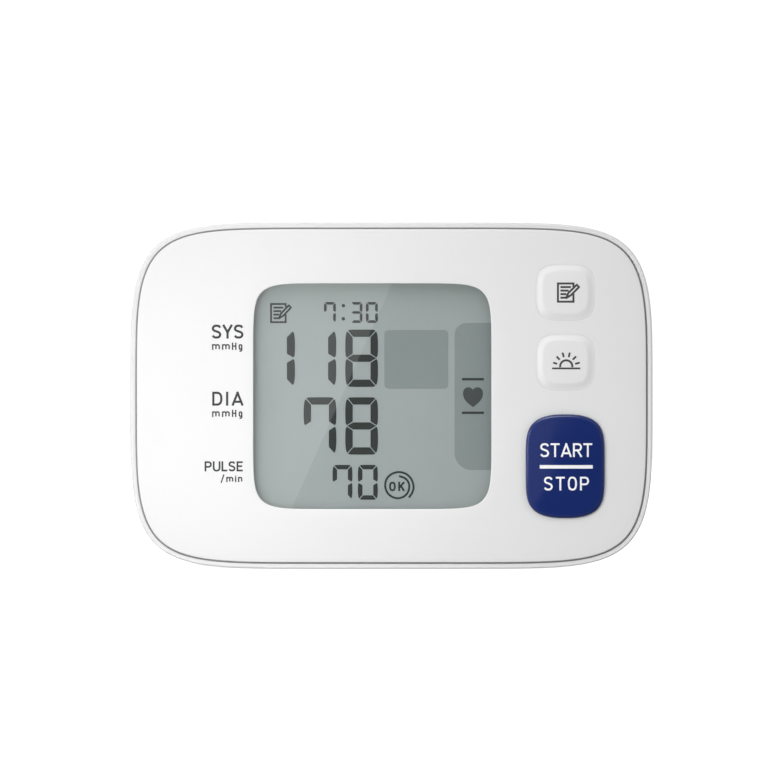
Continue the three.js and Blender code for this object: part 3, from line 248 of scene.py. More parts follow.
# The studio's light, as shares that are multiplied: a direction, the dot products with it
# between which a share runs, and its value at each.
WORLD_SIDE = 0.3
WORLD_SHARES = (
    (Vector((-0.48, -0.36, 0.74)).normalized(), -1.0, 1.0, 0.375, 1.355),  # from above and the left
    (Vector((0, -1, 0)), 0.70, 0.97, 1.0, 0.22),  # darker straight behind the camera
    (Vector((0, 1, 0)), -0.25, 0.05, 1.0, WORLD_SIDE),  # darker beside the case
    (Vector((0, 1, 0)), 0.1, 0.45, 1.0, 0.62 / WORLD_SIDE),  # lighter again behind it
)
WORLD_SEEN = 1.05

# Area lights: name, place, size, power and the rays that don't meet it. The two softboxes,
# overhead and on the left, are seen in polished edges alone.
LIGHTS = (
    ("strip", (-0.046, FACE_Y - 0.085, MID_Z - 0.006), (0.04, 0.07), 0.0435, "glossy"),
    ("overhead_softbox", (-0.06, FACE_Y - 0.06, MID_Z + 0.28), (0.30, 0.16), 1.1, "diffuse"),
    ("side_softbox", (-0.27, FACE_Y - 0.09, MID_Z + 0.06), (0.10, 0.16), 0.35, "diffuse"),
)

# The softbox that the display's window mirrors: its right edge is the slanting edge of the glare.
GLARE_AWAY = 0.6
GLARE_LINE = ((391.5, 284.6), (291.7, 508.5))
GLARE_SIZE = (0.30, 0.50)
GLARE_RADIANCE = 0.74


def add_camera():
    data = bpy.data.cameras.new("camera")
    data.lens = LENS
    data.sensor_width = SENSOR
    data.clip_end = 10.0
    camera = show(bpy.data.objects.new("camera", data))
    x = (PHOTO_SIZE[0] / 2 - PHOTO_X) * PHOTO_MM
    y = (PHOTO_Y - PHOTO_SIZE[1] / 2) * PHOTO_MM
    camera.location = place([(x, y, CAMERA_AWAY)])[0]
    camera.rotation_euler = (math.pi / 2, 0, 0)
    bpy.context.scene.camera = camera


def add_area(name, location, size, power, *unmet):
    """An area light that looks at the middle of the front."""
    data = bpy.data.lights.new(name, "AREA")
    data.shape = "RECTANGLE"
    data.size, data.size_y = size
    data.energy = power
    light = show(bpy.data.objects.new(name, data))
    light.location = location
    middle = Vector((0, FACE_Y, MID_Z))
    light.rotation_euler = (middle - Vector(location)).to_track_quat("-Z", "Y").to_euler()
    for rays in ("camera", *unmet):
        setattr(light, f"visible_{rays}", False)
    return light


def add_world():
    """White for the camera, and the studio's light for all else."""
    world = bpy.data.worlds.new("studio")
    world.use_nodes = True
    bpy.context.scene.world = world
    tree = world.node_tree
    tree.nodes.clear()
    direction = add_node(tree, "TexCoord").outputs["Generated"]
    strength = 1.0
    for toward, low, high, at_low, at_high in WORLD_SHARES:
        dot = add_node(tree, "VectorMath", {0: direction, 1: toward}, operation="DOT_PRODUCT")
        share = add_node(tree, "MapRange", {
            "Value": dot.outputs["Value"], "From Min": low, "From Max": high,
            "To Min": at_low, "To Max": at_high,
        }, interpolation_type="SMOOTHSTEP")
        strength = maths(tree, "MULTIPLY", strength, share.outputs["Result"])
    studio, seen = (
        add_node(tree, "Background", {"Color": (1, 1, 1, 1), "Strength": value}).outputs[0]
        for value in (strength, WORLD_SEEN)
    )
    by_camera = add_node(tree, "LightPath").outputs["Is Camera Ray"]
    mix = add_node(tree, "MixShader", {"Fac": by_camera, 1: studio, 2: seen})
    add_node(tree, "OutputWorld", {"Surface": mix.outputs[0]})


def add_glare():
    spread = 1 + GLARE_AWAY / (CAMERA_AWAY * MM)
    across, up = PHOTO_SIZE[0] / 2, PHOTO_SIZE[1] / 2
    top, low = (
        Vector(((x - across) * PHOTO_MM * spread * MM, (up - y) * PHOTO_MM * spread * MM))
        for x, y in GLARE_LINE
    )
    along = (top - low).normalized()
    left = Vector((-along.y, along.x))
    middle = (top + low) / 2 + left * GLARE_SIZE[0] / 2
    camera = bpy.context.scene.camera.location
    location = (camera.x + middle.x, FACE_Y - GLARE_AWAY, camera.z + middle.y)
    power = GLARE_RADIANCE * math.pi * GLARE_SIZE[0] * GLARE_SIZE[1]
    light = add_area("window_softbox", location, GLARE_SIZE, power, "diffuse", "transmission")
    light.rotation_euler = (math.pi / 2, 0, 0)
    light.rotation_euler.rotate_axis("Z", -math.atan2(along.x, along.y))


add_camera()
add_world()
bpy.context.scene.view_settings.view_transform = "Standard"
for light in LIGHTS:
    add_area(*light)
add_glare()

# Materials


def new_material(name):
    mat = bpy.data.materials.new(name)
    mat.use_nodes = True
    return mat, mat.node_tree, mat.node_tree.nodes["Principled BSDF"]


def moulded(
    name, colour, rough, spread=0.02, grain=2200.0, depth=0.000008, metal=0.0, spec=0.5, coat=0.0,
):
    """Moulded plastic, rubber, film or metal: a slight drift in colour and shine, and a fine grain."""
    mat, tree, shader = new_material(name)
    coords = add_node(tree, "TexCoord").outputs["Object"]
    drift = add_node(tree, "TexNoise", {"Vector": coords, "Scale": 90.0, "Detail": 4.0})
    ramp = add_node(tree, "ValToRGB", {"Fac": drift.outputs["Fac"]})
    for stop, at, share in zip(ramp.color_ramp.elements, (0.3, 0.7), (1 - spread, 1 + spread)):
        stop.position = at
        stop.color = [min(1.0, c * share) for c in colour] + [1]
    fine = add_node(tree, "TexNoise", {"Vector": coords, "Scale": grain, "Detail": 3.0}).outputs["Fac"]
    span = {"Value": fine, "To Min": max(0.0, rough - 0.04), "To Max": rough + 0.04}
    feed(tree, shader, {
        "Base Color": ramp.outputs["Color"],
        "Metallic": metal,
        "Specular IOR Level": spec,
        "Coat Weight": coat,
        "Roughness": add_node(tree, "MapRange", span).outputs["Result"],
        "Normal": add_node(tree, "Bump", {"Distance": depth, "Height": fine}).outputs["Normal"],
    })
    return mat


def woven(name, colour, pitch, depth, fuzz=0.5):
    """Cloth: warp and weft along the piece's own 'weave' directions, with a fuzzy sheen; its colour
    holds painted shade, darker in the weave's dips and lighter on its crowns.
    """
    mat, tree, shader = new_material(name)
    weave = add_node(tree, "Attribute", attribute_name="weave").outputs["Vector"]
    split = add_node(tree, "SeparateXYZ", {"Vector": weave})
    warp, weft = (
        maths(tree, "SINE", maths(tree, "MULTIPLY", split.outputs[axis], math.pi / pitch))
        for axis in "XY"
    )
    over = maths(tree, "MULTIPLY", warp, weft)
    side = add_node(tree, "MapRange", {"Value": over, "From Min": -0.25, "From Max": 0.25})
    height = add_node(tree, "Mix", {
        "Factor": side.outputs["Result"],
        "A": maths(tree, "ABSOLUTE", warp),
        "B": maths(tree, "ABSOLUTE", weft),
    }).outputs["Result"]
    noise = add_node(tree, "TexNoise", {"Vector": weave, "Scale": 900.0, "Detail": 6.0}).outputs["Fac"]
    blotch = add_node(tree, "TexNoise", {"Vector": weave, "Scale": 70.0}).outputs["Fac"]
    # Painted shade: the colour is darker where the weave lies low and lighter on the threads' crowns;
    # the two noises add a random drift in tone.
    painted_shade_and_tone = maths(tree, "MULTIPLY_ADD", height, 0.45, 0.35)
    painted_shade_and_tone = maths(tree, "ADD", painted_shade_and_tone, maths(tree, "MULTIPLY", noise, 0.30))
    painted_shade_and_tone = maths(tree, "ADD", painted_shade_and_tone, maths(tree, "MULTIPLY", blotch, 0.16))
    tint = add_node(tree, "Mix", {
        "Factor": painted_shade_and_tone,
        "A": [c * 0.45 for c in colour] + [1],
        "B": [min(1.0, c * 1.25) for c in colour] + [1],
    }, data_type="RGBA")
    rise = maths(tree, "ADD", height, maths(tree, "MULTIPLY", noise, 0.5))
    feed(tree, shader, {
        "Roughness": 0.9,
        "Sheen Weight": fuzz,
        "Sheen Roughness": 0.4,
        "Base Color": tint.outputs["Result"],
        "Normal": add_node(tree, "Bump", {"Distance": depth, "Height": rise}).outputs["Normal"],
    })
    return mat


def clear_pane(name):
    """A thin clear sheet: it mirrors by Fresnel and lets the rest through."""
    mat, tree, _ = new_material(name)
    tree.nodes.clear()
    back = add_node(tree, "NewGeometry").outputs["Backfacing"]
    fresnel = add_node(tree, "Fresnel", {"IOR": 1.8}).outputs[0]
    share = maths(tree, "MULTIPLY", fresnel, maths(tree, "SUBTRACT", 1.0, back))
    clear = add_node(tree, "BsdfTransparent", {"Color": (0.985, 0.99, 0.988, 1)}).outputs[0]
    mirror = add_node(tree, "BsdfGlossy", {"Roughness": 0.004}).outputs[0]
    mix = add_node(tree, "MixShader", {"Fac": share, 1: clear, 2: mirror})
    add_node(tree, "OutputMaterial", {"Surface": mix.outputs[0]})
    return mat


def banded(name, jacket, metal, low, high):
    """A cell's look: a jacket between bare metal ends."""
    mat = moulded(name, jacket, 0.22, spread=0.04, metal=0.35, coat=0.4)
    tree = mat.node_tree
    shader = tree.nodes["Principled BSDF"]
    coords = add_node(tree, "TexCoord").outputs["Object"]
    along = add_node(tree, "SeparateXYZ", {"Vector": coords}).outputs["Z"]
    soft = 0.00005
    past_low, past_high = (
        add_node(tree, "MapRange", {"Value": along, "From Min": edge - soft, "From Max": edge + soft})
        for edge in (min(low, high), max(low, high))
    )
    band = maths(tree, "SUBTRACT", past_low.outputs["Result"], past_high.outputs["Result"])
    mix = add_node(tree, "Mix", {
        "Factor": band,
        "A": (*metal, 1),
        "B": shader.inputs["Base Color"].links[0].from_socket,
    }, data_type="RGBA")
    feed(tree, shader, {"Base Color": mix.outputs["Result"]})
    return mat


FLAT = {"depth": 0.000001, "spec": 0.2}
WHITE = moulded("case_white_plastic", (0.80, 0.80, 0.80), 0.36, spread=0.006)
REAR_WHITE = moulded("rear_white_plastic", (0.78, 0.78, 0.78), 0.45, spread=0.006, spec=0.2)
KEY_WHITE = moulded("key_white_plastic", (0.80, 0.80, 0.80), 0.45, spread=0.006, spec=0.3)
BLUE = moulded("blue_plastic", (0.0065, 0.0215, 0.143), 0.11, spread=0.03, depth=0.000001, spec=0.25)
CLEAR = clear_pane("clear_window_plastic")
FILM = moulded("display_film", (0.388, 0.432, 0.426), 0.6, spread=0.01, **FLAT)
ZONE = moulded("display_zone", (0.272, 0.316, 0.311), 0.6, spread=0.01, **FLAT)
SEGMENT = moulded("display_segment", (0.022, 0.029, 0.027), 0.6, spread=0.03, **FLAT)
HEART_SEGMENT = moulded("display_heart", (0.060, 0.069, 0.069), 0.6, spread=0.03, **FLAT)
GLASS = moulded("display_glass", (0.30, 0.34, 0.34), 0.15, depth=0.0)
# Grey for the ring in the covers' groove: painted shade that darkens the groove.
GROOVE_SHADE = moulded("groove_painted_shade", (0.31, 0.31, 0.315), 0.7)
INK = moulded("label_ink", (0.035, 0.035, 0.037), 0.6, spread=0.05)
ICON_INK = moulded("icon_ink", (0.045, 0.045, 0.047), 0.6, spread=0.05)
WHITE_INK = moulded("button_ink", (0.94, 0.94, 0.97), 0.5, spread=0.01)
GREY = moulded("grey_plastic_fine", (0.26, 0.28, 0.29), 0.5)
BLACK = moulded("black_plastic_fine", (0.012, 0.012, 0.013), 0.45)
RUBBER = moulded("contact_rubber_fine", (0.10, 0.10, 0.10), 0.75)
BOARD = moulded("board_lacquer", (0.014, 0.105, 0.045), 0.35, spread=0.12, grain=900.0, depth=0.00002)
STEEL = moulded("steel_plated", (0.58, 0.58, 0.59), 0.28, spread=0.05, metal=1.0)
SILICONE = moulded("silicone_hose", (0.66, 0.67, 0.64), 0.6)
RED_WIRE = moulded("red_insulation", (0.36, 0.02, 0.015), 0.45)
BLACK_WIRE = moulded("black_insulation", (0.012, 0.012, 0.012), 0.45)
TPU = moulded("bladder_film_fine", (0.34, 0.37, 0.36), 0.5)
CLOTH = woven("cuff_cloth_weave", (0.150, 0.165, 0.185), 0.00042, 0.00012)
LINING = woven("lining_brushed", (0.070, 0.077, 0.086), 0.00030, 0.00008, fuzz=0.9)
WEBBING = woven("strap_weave", (0.125, 0.138, 0.155), 0.00050, 0.00014)
HOOK = moulded("hook_nylon_fine", (0.020, 0.022, 0.025), 0.75, grain=2600.0, depth=0.00025)
THREAD = moulded("sewing_thread", (0.42, 0.44, 0.47), 0.8, spread=0.1, grain=4000.0, depth=0.00003)

# Shapes: arrays of points in the face frame, with faces


ROUND = (2, 2)
BAR_TURNS = (np.arange(48) + 0.5) / 48 * 2 * math.pi


def superellipse(a, b, exponents, turns):
    c, s = np.cos(turns), np.sin(turns)
    x = a * np.sign(c) * np.abs(c) ** (2 / exponents[0])
    y = b * np.sign(s) * np.abs(s) ** (2 / exponents[1])
    return np.stack([x, y], -1)


def run_of(points):
    """The length along a line up to each of its points."""
    return np.concatenate([[0], np.cumsum(np.hypot(*np.diff(points, axis=0).T))])


def even_turns(a, b, exponents, count):
    """Turns that space the points of the outline evenly, starting between two points."""
    fine = np.linspace(0, 2 * math.pi, 40001)
    run = run_of(superellipse(a, b, exponents, fine))
    return np.interp((np.arange(count) + 0.5) / count * run[-1], run, fine)


def outline(a, b, exponents, turns, z, x=0.0, y=0.0):
    p = superellipse(a, b, exponents, turns)
    return np.column_stack([p[:, 0] + x, p[:, 1] + y, np.full(len(p), z)])


def quarter(radius, steps):
    """[drawn in, dropped] along a quarter round, from the wall to the top."""
    turns = [i / steps * math.pi / 2 for i in range(steps + 1)]
    return [(radius * (1 - math.cos(t)), radius * (1 - math.sin(t))) for t in turns]


def eased(share):
    return share * share * (3 - 2 * share)


class Skin:
    """A closed surface put together from loops, bands between loops and filled sheets."""

    def __init__(self):
        self.points = []
        self.faces = []

    def band(self, low, high):
        n = len(low)
        for i in range(n):
            self.faces.append((low[i], low[(i + 1) % n], high[(i + 1) % n], high[i]))

    def rings(self, rings):
        """Bands through the rings; gives the first and the last loop."""
        loops = []
        for ring in rings:
            loops.append(list(range(len(self.points), len(self.points) + len(ring))))
            self.points += [tuple(p) for p in ring]
        for low, high in zip(loops, loops[1:]):
            self.band(low, high)
        return loops[0], loops[-1]

    def fill(self, outer, holes, loose, height):
        """Triangles between the outer loop and the holes, with loose points at height(x, y)."""
        known = [i for loop in (outer, *holes) for i in loop]
        flat = [Vector(self.points[i][:2]) for i in known] + [Vector(p) for p in loose]
        numbers = iter(range(len(known)))
        loops = [[next(numbers) for _ in loop] for loop in (outer, *holes)]
        coords, _, triangles, origins, _, owners = delaunay_2d_cdt(flat, [], loops, 0, 1e-5, True)
        index = []
        for i, (x, y) in enumerate(coords):
            source = [k for k in origins[i] if k < len(known)]
            if source:
                index.append(known[source[0]])
            else:
                self.points.append((x, y, height(x, y)))
                index.append(len(self.points) - 1)
        for triangle, owner in zip(triangles, owners):
            if list(owner) == [0]:
                self.faces.append(tuple(index[i] for i in triangle))

    def shape(self):
        return np.array(self.points), self.faces


def loft(rings):
    """The rings' bands, closed by the first and the last of them."""
    skin = Skin()
    low, high = skin.rings(rings)
    skin.faces += [tuple(low[::-1]), tuple(high)]
    return skin.shape()


class Oval:
    """A superellipse: its half sizes and exponents, the points round it and its middle."""

    def __init__(self, a, b, exponents, count, x=0.0, y=0.0):
        self.a, self.b, self.exponents, self.x, self.y = a, b, exponents, x, y
        self.turns = even_turns(a, b, exponents, count)

    def ring(self, out, z, scale=1.0):
        a, b = (self.a + out) * scale, (self.b + out) * scale
        return outline(a, b, self.exponents, self.turns, z, self.x, self.y)

    def stack(self, profile):
        return loft([self.ring(-inset, z) for inset, z in profile])

    def share(self, x, y, out=0.0):
        """How far out a point lies inside it: 0 at the middle and 1 on the outline."""
        a, b = self.a + out, self.b + out
        x, y = abs(x - self.x), abs(y - self.y)
        low, high = 0.0, 3.0
        for _ in range(40):
            s = (low + high) / 2
            if (x / (s * a)) ** self.exponents[0] + (y / (s * b)) ** self.exponents[1] > 1:
                low = s
            else:
                high = s
        return high


def block(x0, x1, y0, y1, z0, z1):
    return loft([[(x0, y0, z), (x1, y0, z), (x1, y1, z), (x0, y1, z)] for z in (z0, z1)])


def bars(radius, places, z0, z1):
    """Round bars along z, as one shape."""
    return together(*[
        loft([outline(radius, radius, ROUND, BAR_TURNS, z, x, y) for z in (z0, z1)])
        for x, y in places
    ])


def together(*shapes):
    verts, faces = [], []
    base = 0
    for v, f in shapes:
        verts.append(v)
        faces += [tuple(i + base for i in face) for face in f]
        base += len(v)
    return np.concatenate(verts), faces


def mesh_object(name, shape):
    verts, faces = shape
    mesh = bpy.data.meshes.new(name)
    mesh.from_pydata([tuple(v) for v in place(verts)], [], faces)
    bm = bmesh.new()
    bm.from_mesh(mesh)
    bmesh.ops.recalc_face_normals(bm, faces=bm.faces)
    bm.to_mesh(mesh)
    bm.free()
    return show(bpy.data.objects.new(name, mesh))


def carve(obj, operation, shape):
    """Joins a shape or another object to the piece, cuts it away or keeps what both fill."""
    tool = shape if isinstance(shape, bpy.types.Object) else mesh_object("tool", shape)
    modifier = obj.modifiers.new("carve", "BOOLEAN")
    modifier.operation = operation
    modifier.solver = "MANIFOLD"
    modifier.object = tool
    bpy.context.view_layer.update()
    evaluated = obj.evaluated_get(bpy.context.evaluated_depsgraph_get())
    made = bpy.data.meshes.new_from_object(evaluated)
    obj.modifiers.clear()
    old = obj.data
    obj.data = made
    bpy.data.meshes.remove(old)
    bpy.data.objects.remove(tool)
    return obj


def carved(shape, *cuts):
    """An object from a shape and its cuts, each an operation and a shape."""
    obj = mesh_object("blank", shape)
    for operation, cut in cuts:
        carve(obj, operation, cut)
    return obj


def piece(name, shape, body, look, replaces=(), sharp=32.0):
    """A finished piece, smooth but for its sharp edges. replaces names what it stands for."""
    obj = shape if isinstance(shape, bpy.types.Object) else mesh_object(name, shape)
    obj.name = name
    obj.data.name = name
    obj.data.materials.clear()
    obj.data.materials.append(look)
    obj.data.shade_smooth()
    obj.data.set_sharp_from_angle(angle=math.radians(sharp))
    if replaces:
        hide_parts(*replaces)
    if body:
        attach(obj, body)
    return obj


# Front cover


CASE = Oval(HALF_WIDTH, HALF_HEIGHT, (7.2, 4.4), 440)
WINDOW = Oval(WINDOW_HALF_X, WINDOW_HALF_Y, (9.1, 8.7), 300, WINDOW_X, -WINDOW_DROP)
START = Oval(6.85, 9.05, (2.5, 4.9), 160, BUTTON_X, -12.35)
KEYS = {
    name: Oval(5.1, 4.9, (3.6, 3.6), 112, BUTTON_X, y)
    for name, y in (("memory", 18.1), ("morning", 5.9))
}
EDGE_INSET = FACE_INSET + FACE_EDGE
CASE_LINE = CASE.ring(0, 0)[:, :2]
along_case = np.roll(CASE_LINE, -1, 0) - np.roll(CASE_LINE, 1, 0)
CASE_OUTWARD = np.stack([along_case[:, 1], -along_case[:, 0]], 1) / np.hypot(*along_case.T)[:, None]


def face_z(x, y):
    past = max(0.0, CASE.share(x, y, -EDGE_INSET) - PLATEAU_SHARE)
    return -FACE_CROWN * (past / (1 - PLATEAU_SHARE)) ** 2


def case_ring(inset, z):
    """The case's outline drawn in, by an even width as far as the joint between the covers."""
    near = min(inset, JOINT_INSET)
    even = CASE_LINE - near * CASE_OUTWARD
    shrunk = even + CASE.ring(-inset, z)[:, :2] - CASE.ring(-near, z)[:, :2]
    return np.column_stack([shrunk, np.full(len(shrunk), z)])


def case_stack(profile):
    return loft([case_ring(inset, z) for inset, z in profile])


def on_face(ring, drop=0.0):
    return [(x, y, face_z(x, y) - drop) for x, y, _ in ring]


def loose_points():
    """Points in rings near the face's edge and in rows elsewhere, clear of its holes."""
    points = []
    for share in (0.74, 0.78, 0.82, 0.86, 0.90, 0.935, 0.97):
        points += CASE.ring(-EDGE_INSET, 0, share)[::2, :2].tolist()
    spacing = 2.0
    for i in range(-22, 23):
        for j in range(-15, 16):
            if CASE.share(i * spacing, j * spacing, -EDGE_INSET) < 0.72:
                points.append((i * spacing, j * spacing))
    clear = 0.25
    holes = [(WINDOW, WINDOW_EDGE + clear), (START, CAP_GAP + DISH_WIDTH + clear)]
    holes += [(key, CAP_GAP + clear) for key in KEYS.values()]
    return [p for p in points if all(hole.share(*p, out) > 1 for hole, out in holes)]


def front_cover():
    skin = Skin()
    rings = [case_ring(FACE_INSET, -SKIRT_DEPTH)]
    rings += [case_ring(FACE_INSET + i, -FACE_CROWN - drop) for i, drop in quarter(FACE_EDGE, 5)]
    foot, edge = skin.rings(rings)
    pocket = LENS_LIP + SEAT
    rings = [WINDOW.ring(pocket, -FRONT_WALL), WINDOW.ring(pocket, -LIP), WINDOW.ring(0, -LIP)]
    rings += [WINDOW.ring(i, -drop) for i, drop in quarter(WINDOW_EDGE, 5)]
    lows, tops = [[loop] for loop in skin.rings(rings)]
    rings = [START.ring(CAP_GAP, -FRONT_WALL)]
    for i in range(9):
        s = i / 8
        drop = DISH_DEPTH * (1 - s) ** 2 * (1 + s * 0.4)
        rings.append(on_face(START.ring(CAP_GAP + DISH_WIDTH * s, 0), drop))
    holes = [rings]
    for key in KEYS.values():
        ring = key.ring(KEY_GAP, -FRONT_WALL)
        holes.append([ring, on_face(ring)])
    for rings in holes:
        low, top = skin.rings(rings)
        lows.append(low)
        tops.append(top)
    skin.fill(edge, tops, loose_points(), face_z)
    inner = FACE_INSET + SKIRT_WALL
    inner_foot, inner_top = skin.rings([case_ring(inner, z) for z in (-SKIRT_DEPTH, -FRONT_WALL)])
    skin.band(foot, inner_foot)
    skin.fill(inner_top, lows, [], lambda x, y: -FRONT_WALL)
    return skin.shape()


def painted_groove_shade():
    """A thin grey ring in the groove between the two covers: painted shade that darkens the groove."""
    skin = Skin()
    outer, inner = RIM_WIDTH + SHADE_RING_GAP, FACE_INSET - SHADE_RING_GAP
    low = JOINT_FLOOR + SHADE_RING_GAP
    section = ((outer, low), (outer, SHADE_RING_TOP), (inner, SHADE_RING_TOP), (inner, low))
    first, last = skin.rings([case_ring(*point) for point in section])
    skin.band(last, first)
    return skin.shape()


face = front_cover()
piece("front_cover_moulding", face, "monitor", WHITE, ["front_cover"], sharp=38.0)
# The grey ring in the covers' groove is painted shade, not a part of the case.
piece("groove_shade_ring", painted_groove_shade(), "monitor", GROOVE_SHADE)

# Buttons

FLANGE_TOP = -FRONT_WALL - SEAT
FLANGE_FOOT = FLANGE_TOP - FLANGE_THICKNESS
FLANGE = ((FLANGE_WIDTH, FLANGE_FOOT), (FLANGE_WIDTH, FLANGE_TOP), (0, FLANGE_TOP))


def plunger(oval):
    return [
        outline(PLUNGER_RADIUS, PLUNGER_RADIUS, ROUND, oval.turns, z, oval.x, oval.y)
        for z in (PLUNGER_END, FLANGE_FOOT)
    ]


def start_cap():
    rings = plunger(START) + [START.ring(out, z) for out, z in FLANGE]
    rings += [START.ring(-inset, START_TOP - drop) for inset, drop in quarter(START_EDGE, 10)]
    for i in range(1, 16):
        share = 1 - i / 16
        rings.append(START.ring(-START_EDGE, START_TOP + START_DOME * (1 - share**2), share))
    return loft(rings)


def key_cap(key):
    rings = plunger(key)
    for out, z in (*FLANGE, (0, KEY_FOOT)):
        half = KEY_NECK + out
        rings.append(outline(half, half, key.exponents, key.turns, z, key.x, key.y))
    rings.append(key.ring(0, KEY_FOOT))
    level = face_z(key.x, key.y)
    for i in range(13):
        share = i / 12
        rings.append(key.ring(-KEY_SLOPE_WIDTH * share, level + KEY_RISE * eased(share)))
    return loft(rings)


START_TOP = face_z(START.x, START.y) + START_RISE
node = "start_stop_button"
piece("start_stop_cap", start_cap(), node, BLUE, [node], sharp=50)
for name, key in KEYS.items():
    node = f"{name}_button"
    piece(f"{name}_key_cap", key_cap(key), node, KEY_WHITE, [node], sharp=50)

# Window and display

lens = WINDOW.stack([
    (-LENS_LIP, LENS_BOTTOM),
    (-LENS_LIP, LENS_TOP - LENS_CHAMFER),
    (LENS_CHAMFER - LENS_LIP, LENS_TOP),
])
piece("window_pane", lens, "monitor", CLEAR, ["window_lens"])

GLASS_MIDDLE = (GLASS_TOP + GLASS_BOTTOM) / 2
FILM_TOP = GLASS_TOP + 0.12
glass_x = (WINDOW_X - GLASS_HALF_X, WINDOW_X + GLASS_HALF_X)
ledge_y = GLASS_HALF_Y - CONTACT_LEDGE
glass = carved(
    block(*glass_x, -GLASS_HALF_Y, GLASS_HALF_Y, GLASS_MIDDLE, GLASS_TOP),
    ("UNION", block(*glass_x, -ledge_y, ledge_y, GLASS_BOTTOM, GLASS_MIDDLE + 0.01)),
)
piece("display_glass_sheets", glass, "monitor", GLASS, ["lcd_panel"])
film_outline = Oval(GLASS_HALF_X, GLASS_HALF_Y, (40, 40), 120, WINDOW_X)
film = film_outline.stack([(0.4, GLASS_TOP + 0.01), (0.4, FILM_TOP)])
piece("display_polariser", film, "monitor", FILM)

# Flat marks: strokes and shapes that are merged into one thin plate


def ribbon(points, width, ends=0.0):
    """Quads along a line of points. ends is how far each end runs on past its point."""
    p = [Vector(q) for q in points]
    if ends:
        p[0] = p[0] + (p[0] - p[1]).normalized() * ends
        p[-1] = p[-1] + (p[-1] - p[-2]).normalized() * ends
    dense = [p[0]]
    for a, b in zip(p, p[1:]):
        cuts = max(1, math.ceil((b - a).length / 0.6))
        dense += [a + (b - a) * (k + 1) / cuts for k in range(cuts)]
    sides = []
    for i, q in enumerate(dense):
        before = (q - dense[i - 1]).normalized() if i else (dense[1] - q).normalized()
        after = (dense[i + 1] - q).normalized() if i + 1 < len(dense) else before
        along = (before + after).normalized()
        across = Vector((-along.y, along.x))
        reach = width / 2 / max(0.5, across.dot(Vector((-before.y, before.x))))
        sides.append((q + across * reach, q - across * reach))
    return [[a[1], b[1], b[0], a[0]] for a, b in zip(sides, sides[1:])]


def smooth(points, closed=False):
    """Points along a Catmull-Rom curve."""
    steps = 6
    p = [Vector(q) for q in points]
    ring = [p[-1], *p, p[0], p[1]] if closed else [p[0], *p, p[-1]]
    out = []
    for a, b, c, d in zip(ring, ring[1:], ring[2:], ring[3:]):
        for k in range(steps):
            t = k / steps
            square = (2 * a - 5 * b + 4 * c - d) * t**2
            cube = (3 * b - a - 3 * c + d) * t**3
            out.append(0.5 * (2 * b + (c - a) * t + square + cube))
    out.append(p[0] if closed else p[-1])
    return out


def arc(x, y, radius, start, end, steps=24):
    turns = [math.radians(start + (end - start) * i / steps) for i in range(steps + 1)]
    return [(x + radius * math.cos(t), y + radius * math.sin(t)) for t in turns]


def plate(polygons, height, thickness, sink=0.0):
    """One thin closed plate from overlapping polygons, lying on height(x, y)."""
    flat, faces = [], []
    for polygon in polygons:
        area = sum(a[0] * b[1] - b[0] * a[1] for a, b in zip(polygon, polygon[1:] + polygon[:1]))
        faces.append(list(range(len(flat), len(flat) + len(polygon))))
        flat += [Vector(p) for p in (polygon if area > 0 else polygon[::-1])]
    coords, _, triangles, _, _, owners = delaunay_2d_cdt(flat, [], faces, 0, 1e-4, True)
    keep = [t for t, owner in zip(triangles, owners) if owner]
    used = sorted({i for t in keep for i in t})
    at = {i: k for k, i in enumerate(used)}
    count = len(used)
    top = [(coords[i][0], coords[i][1], height(*coords[i]) + thickness) for i in used]
    low = [(x, y, z - thickness - sink) for x, y, z in top]
    made = [tuple(at[i] for i in t) for t in keep]
    edges = [(a, b) for t in made for a, b in zip(t, t[1:] + t[:1])]
    known = set(edges)
    faces = made + [tuple(i + count for i in t)[::-1] for t in made]
    faces += [(b, a, a + count, b + count) for a, b in edges if (b, a) not in known]
    return np.array(top + low), faces


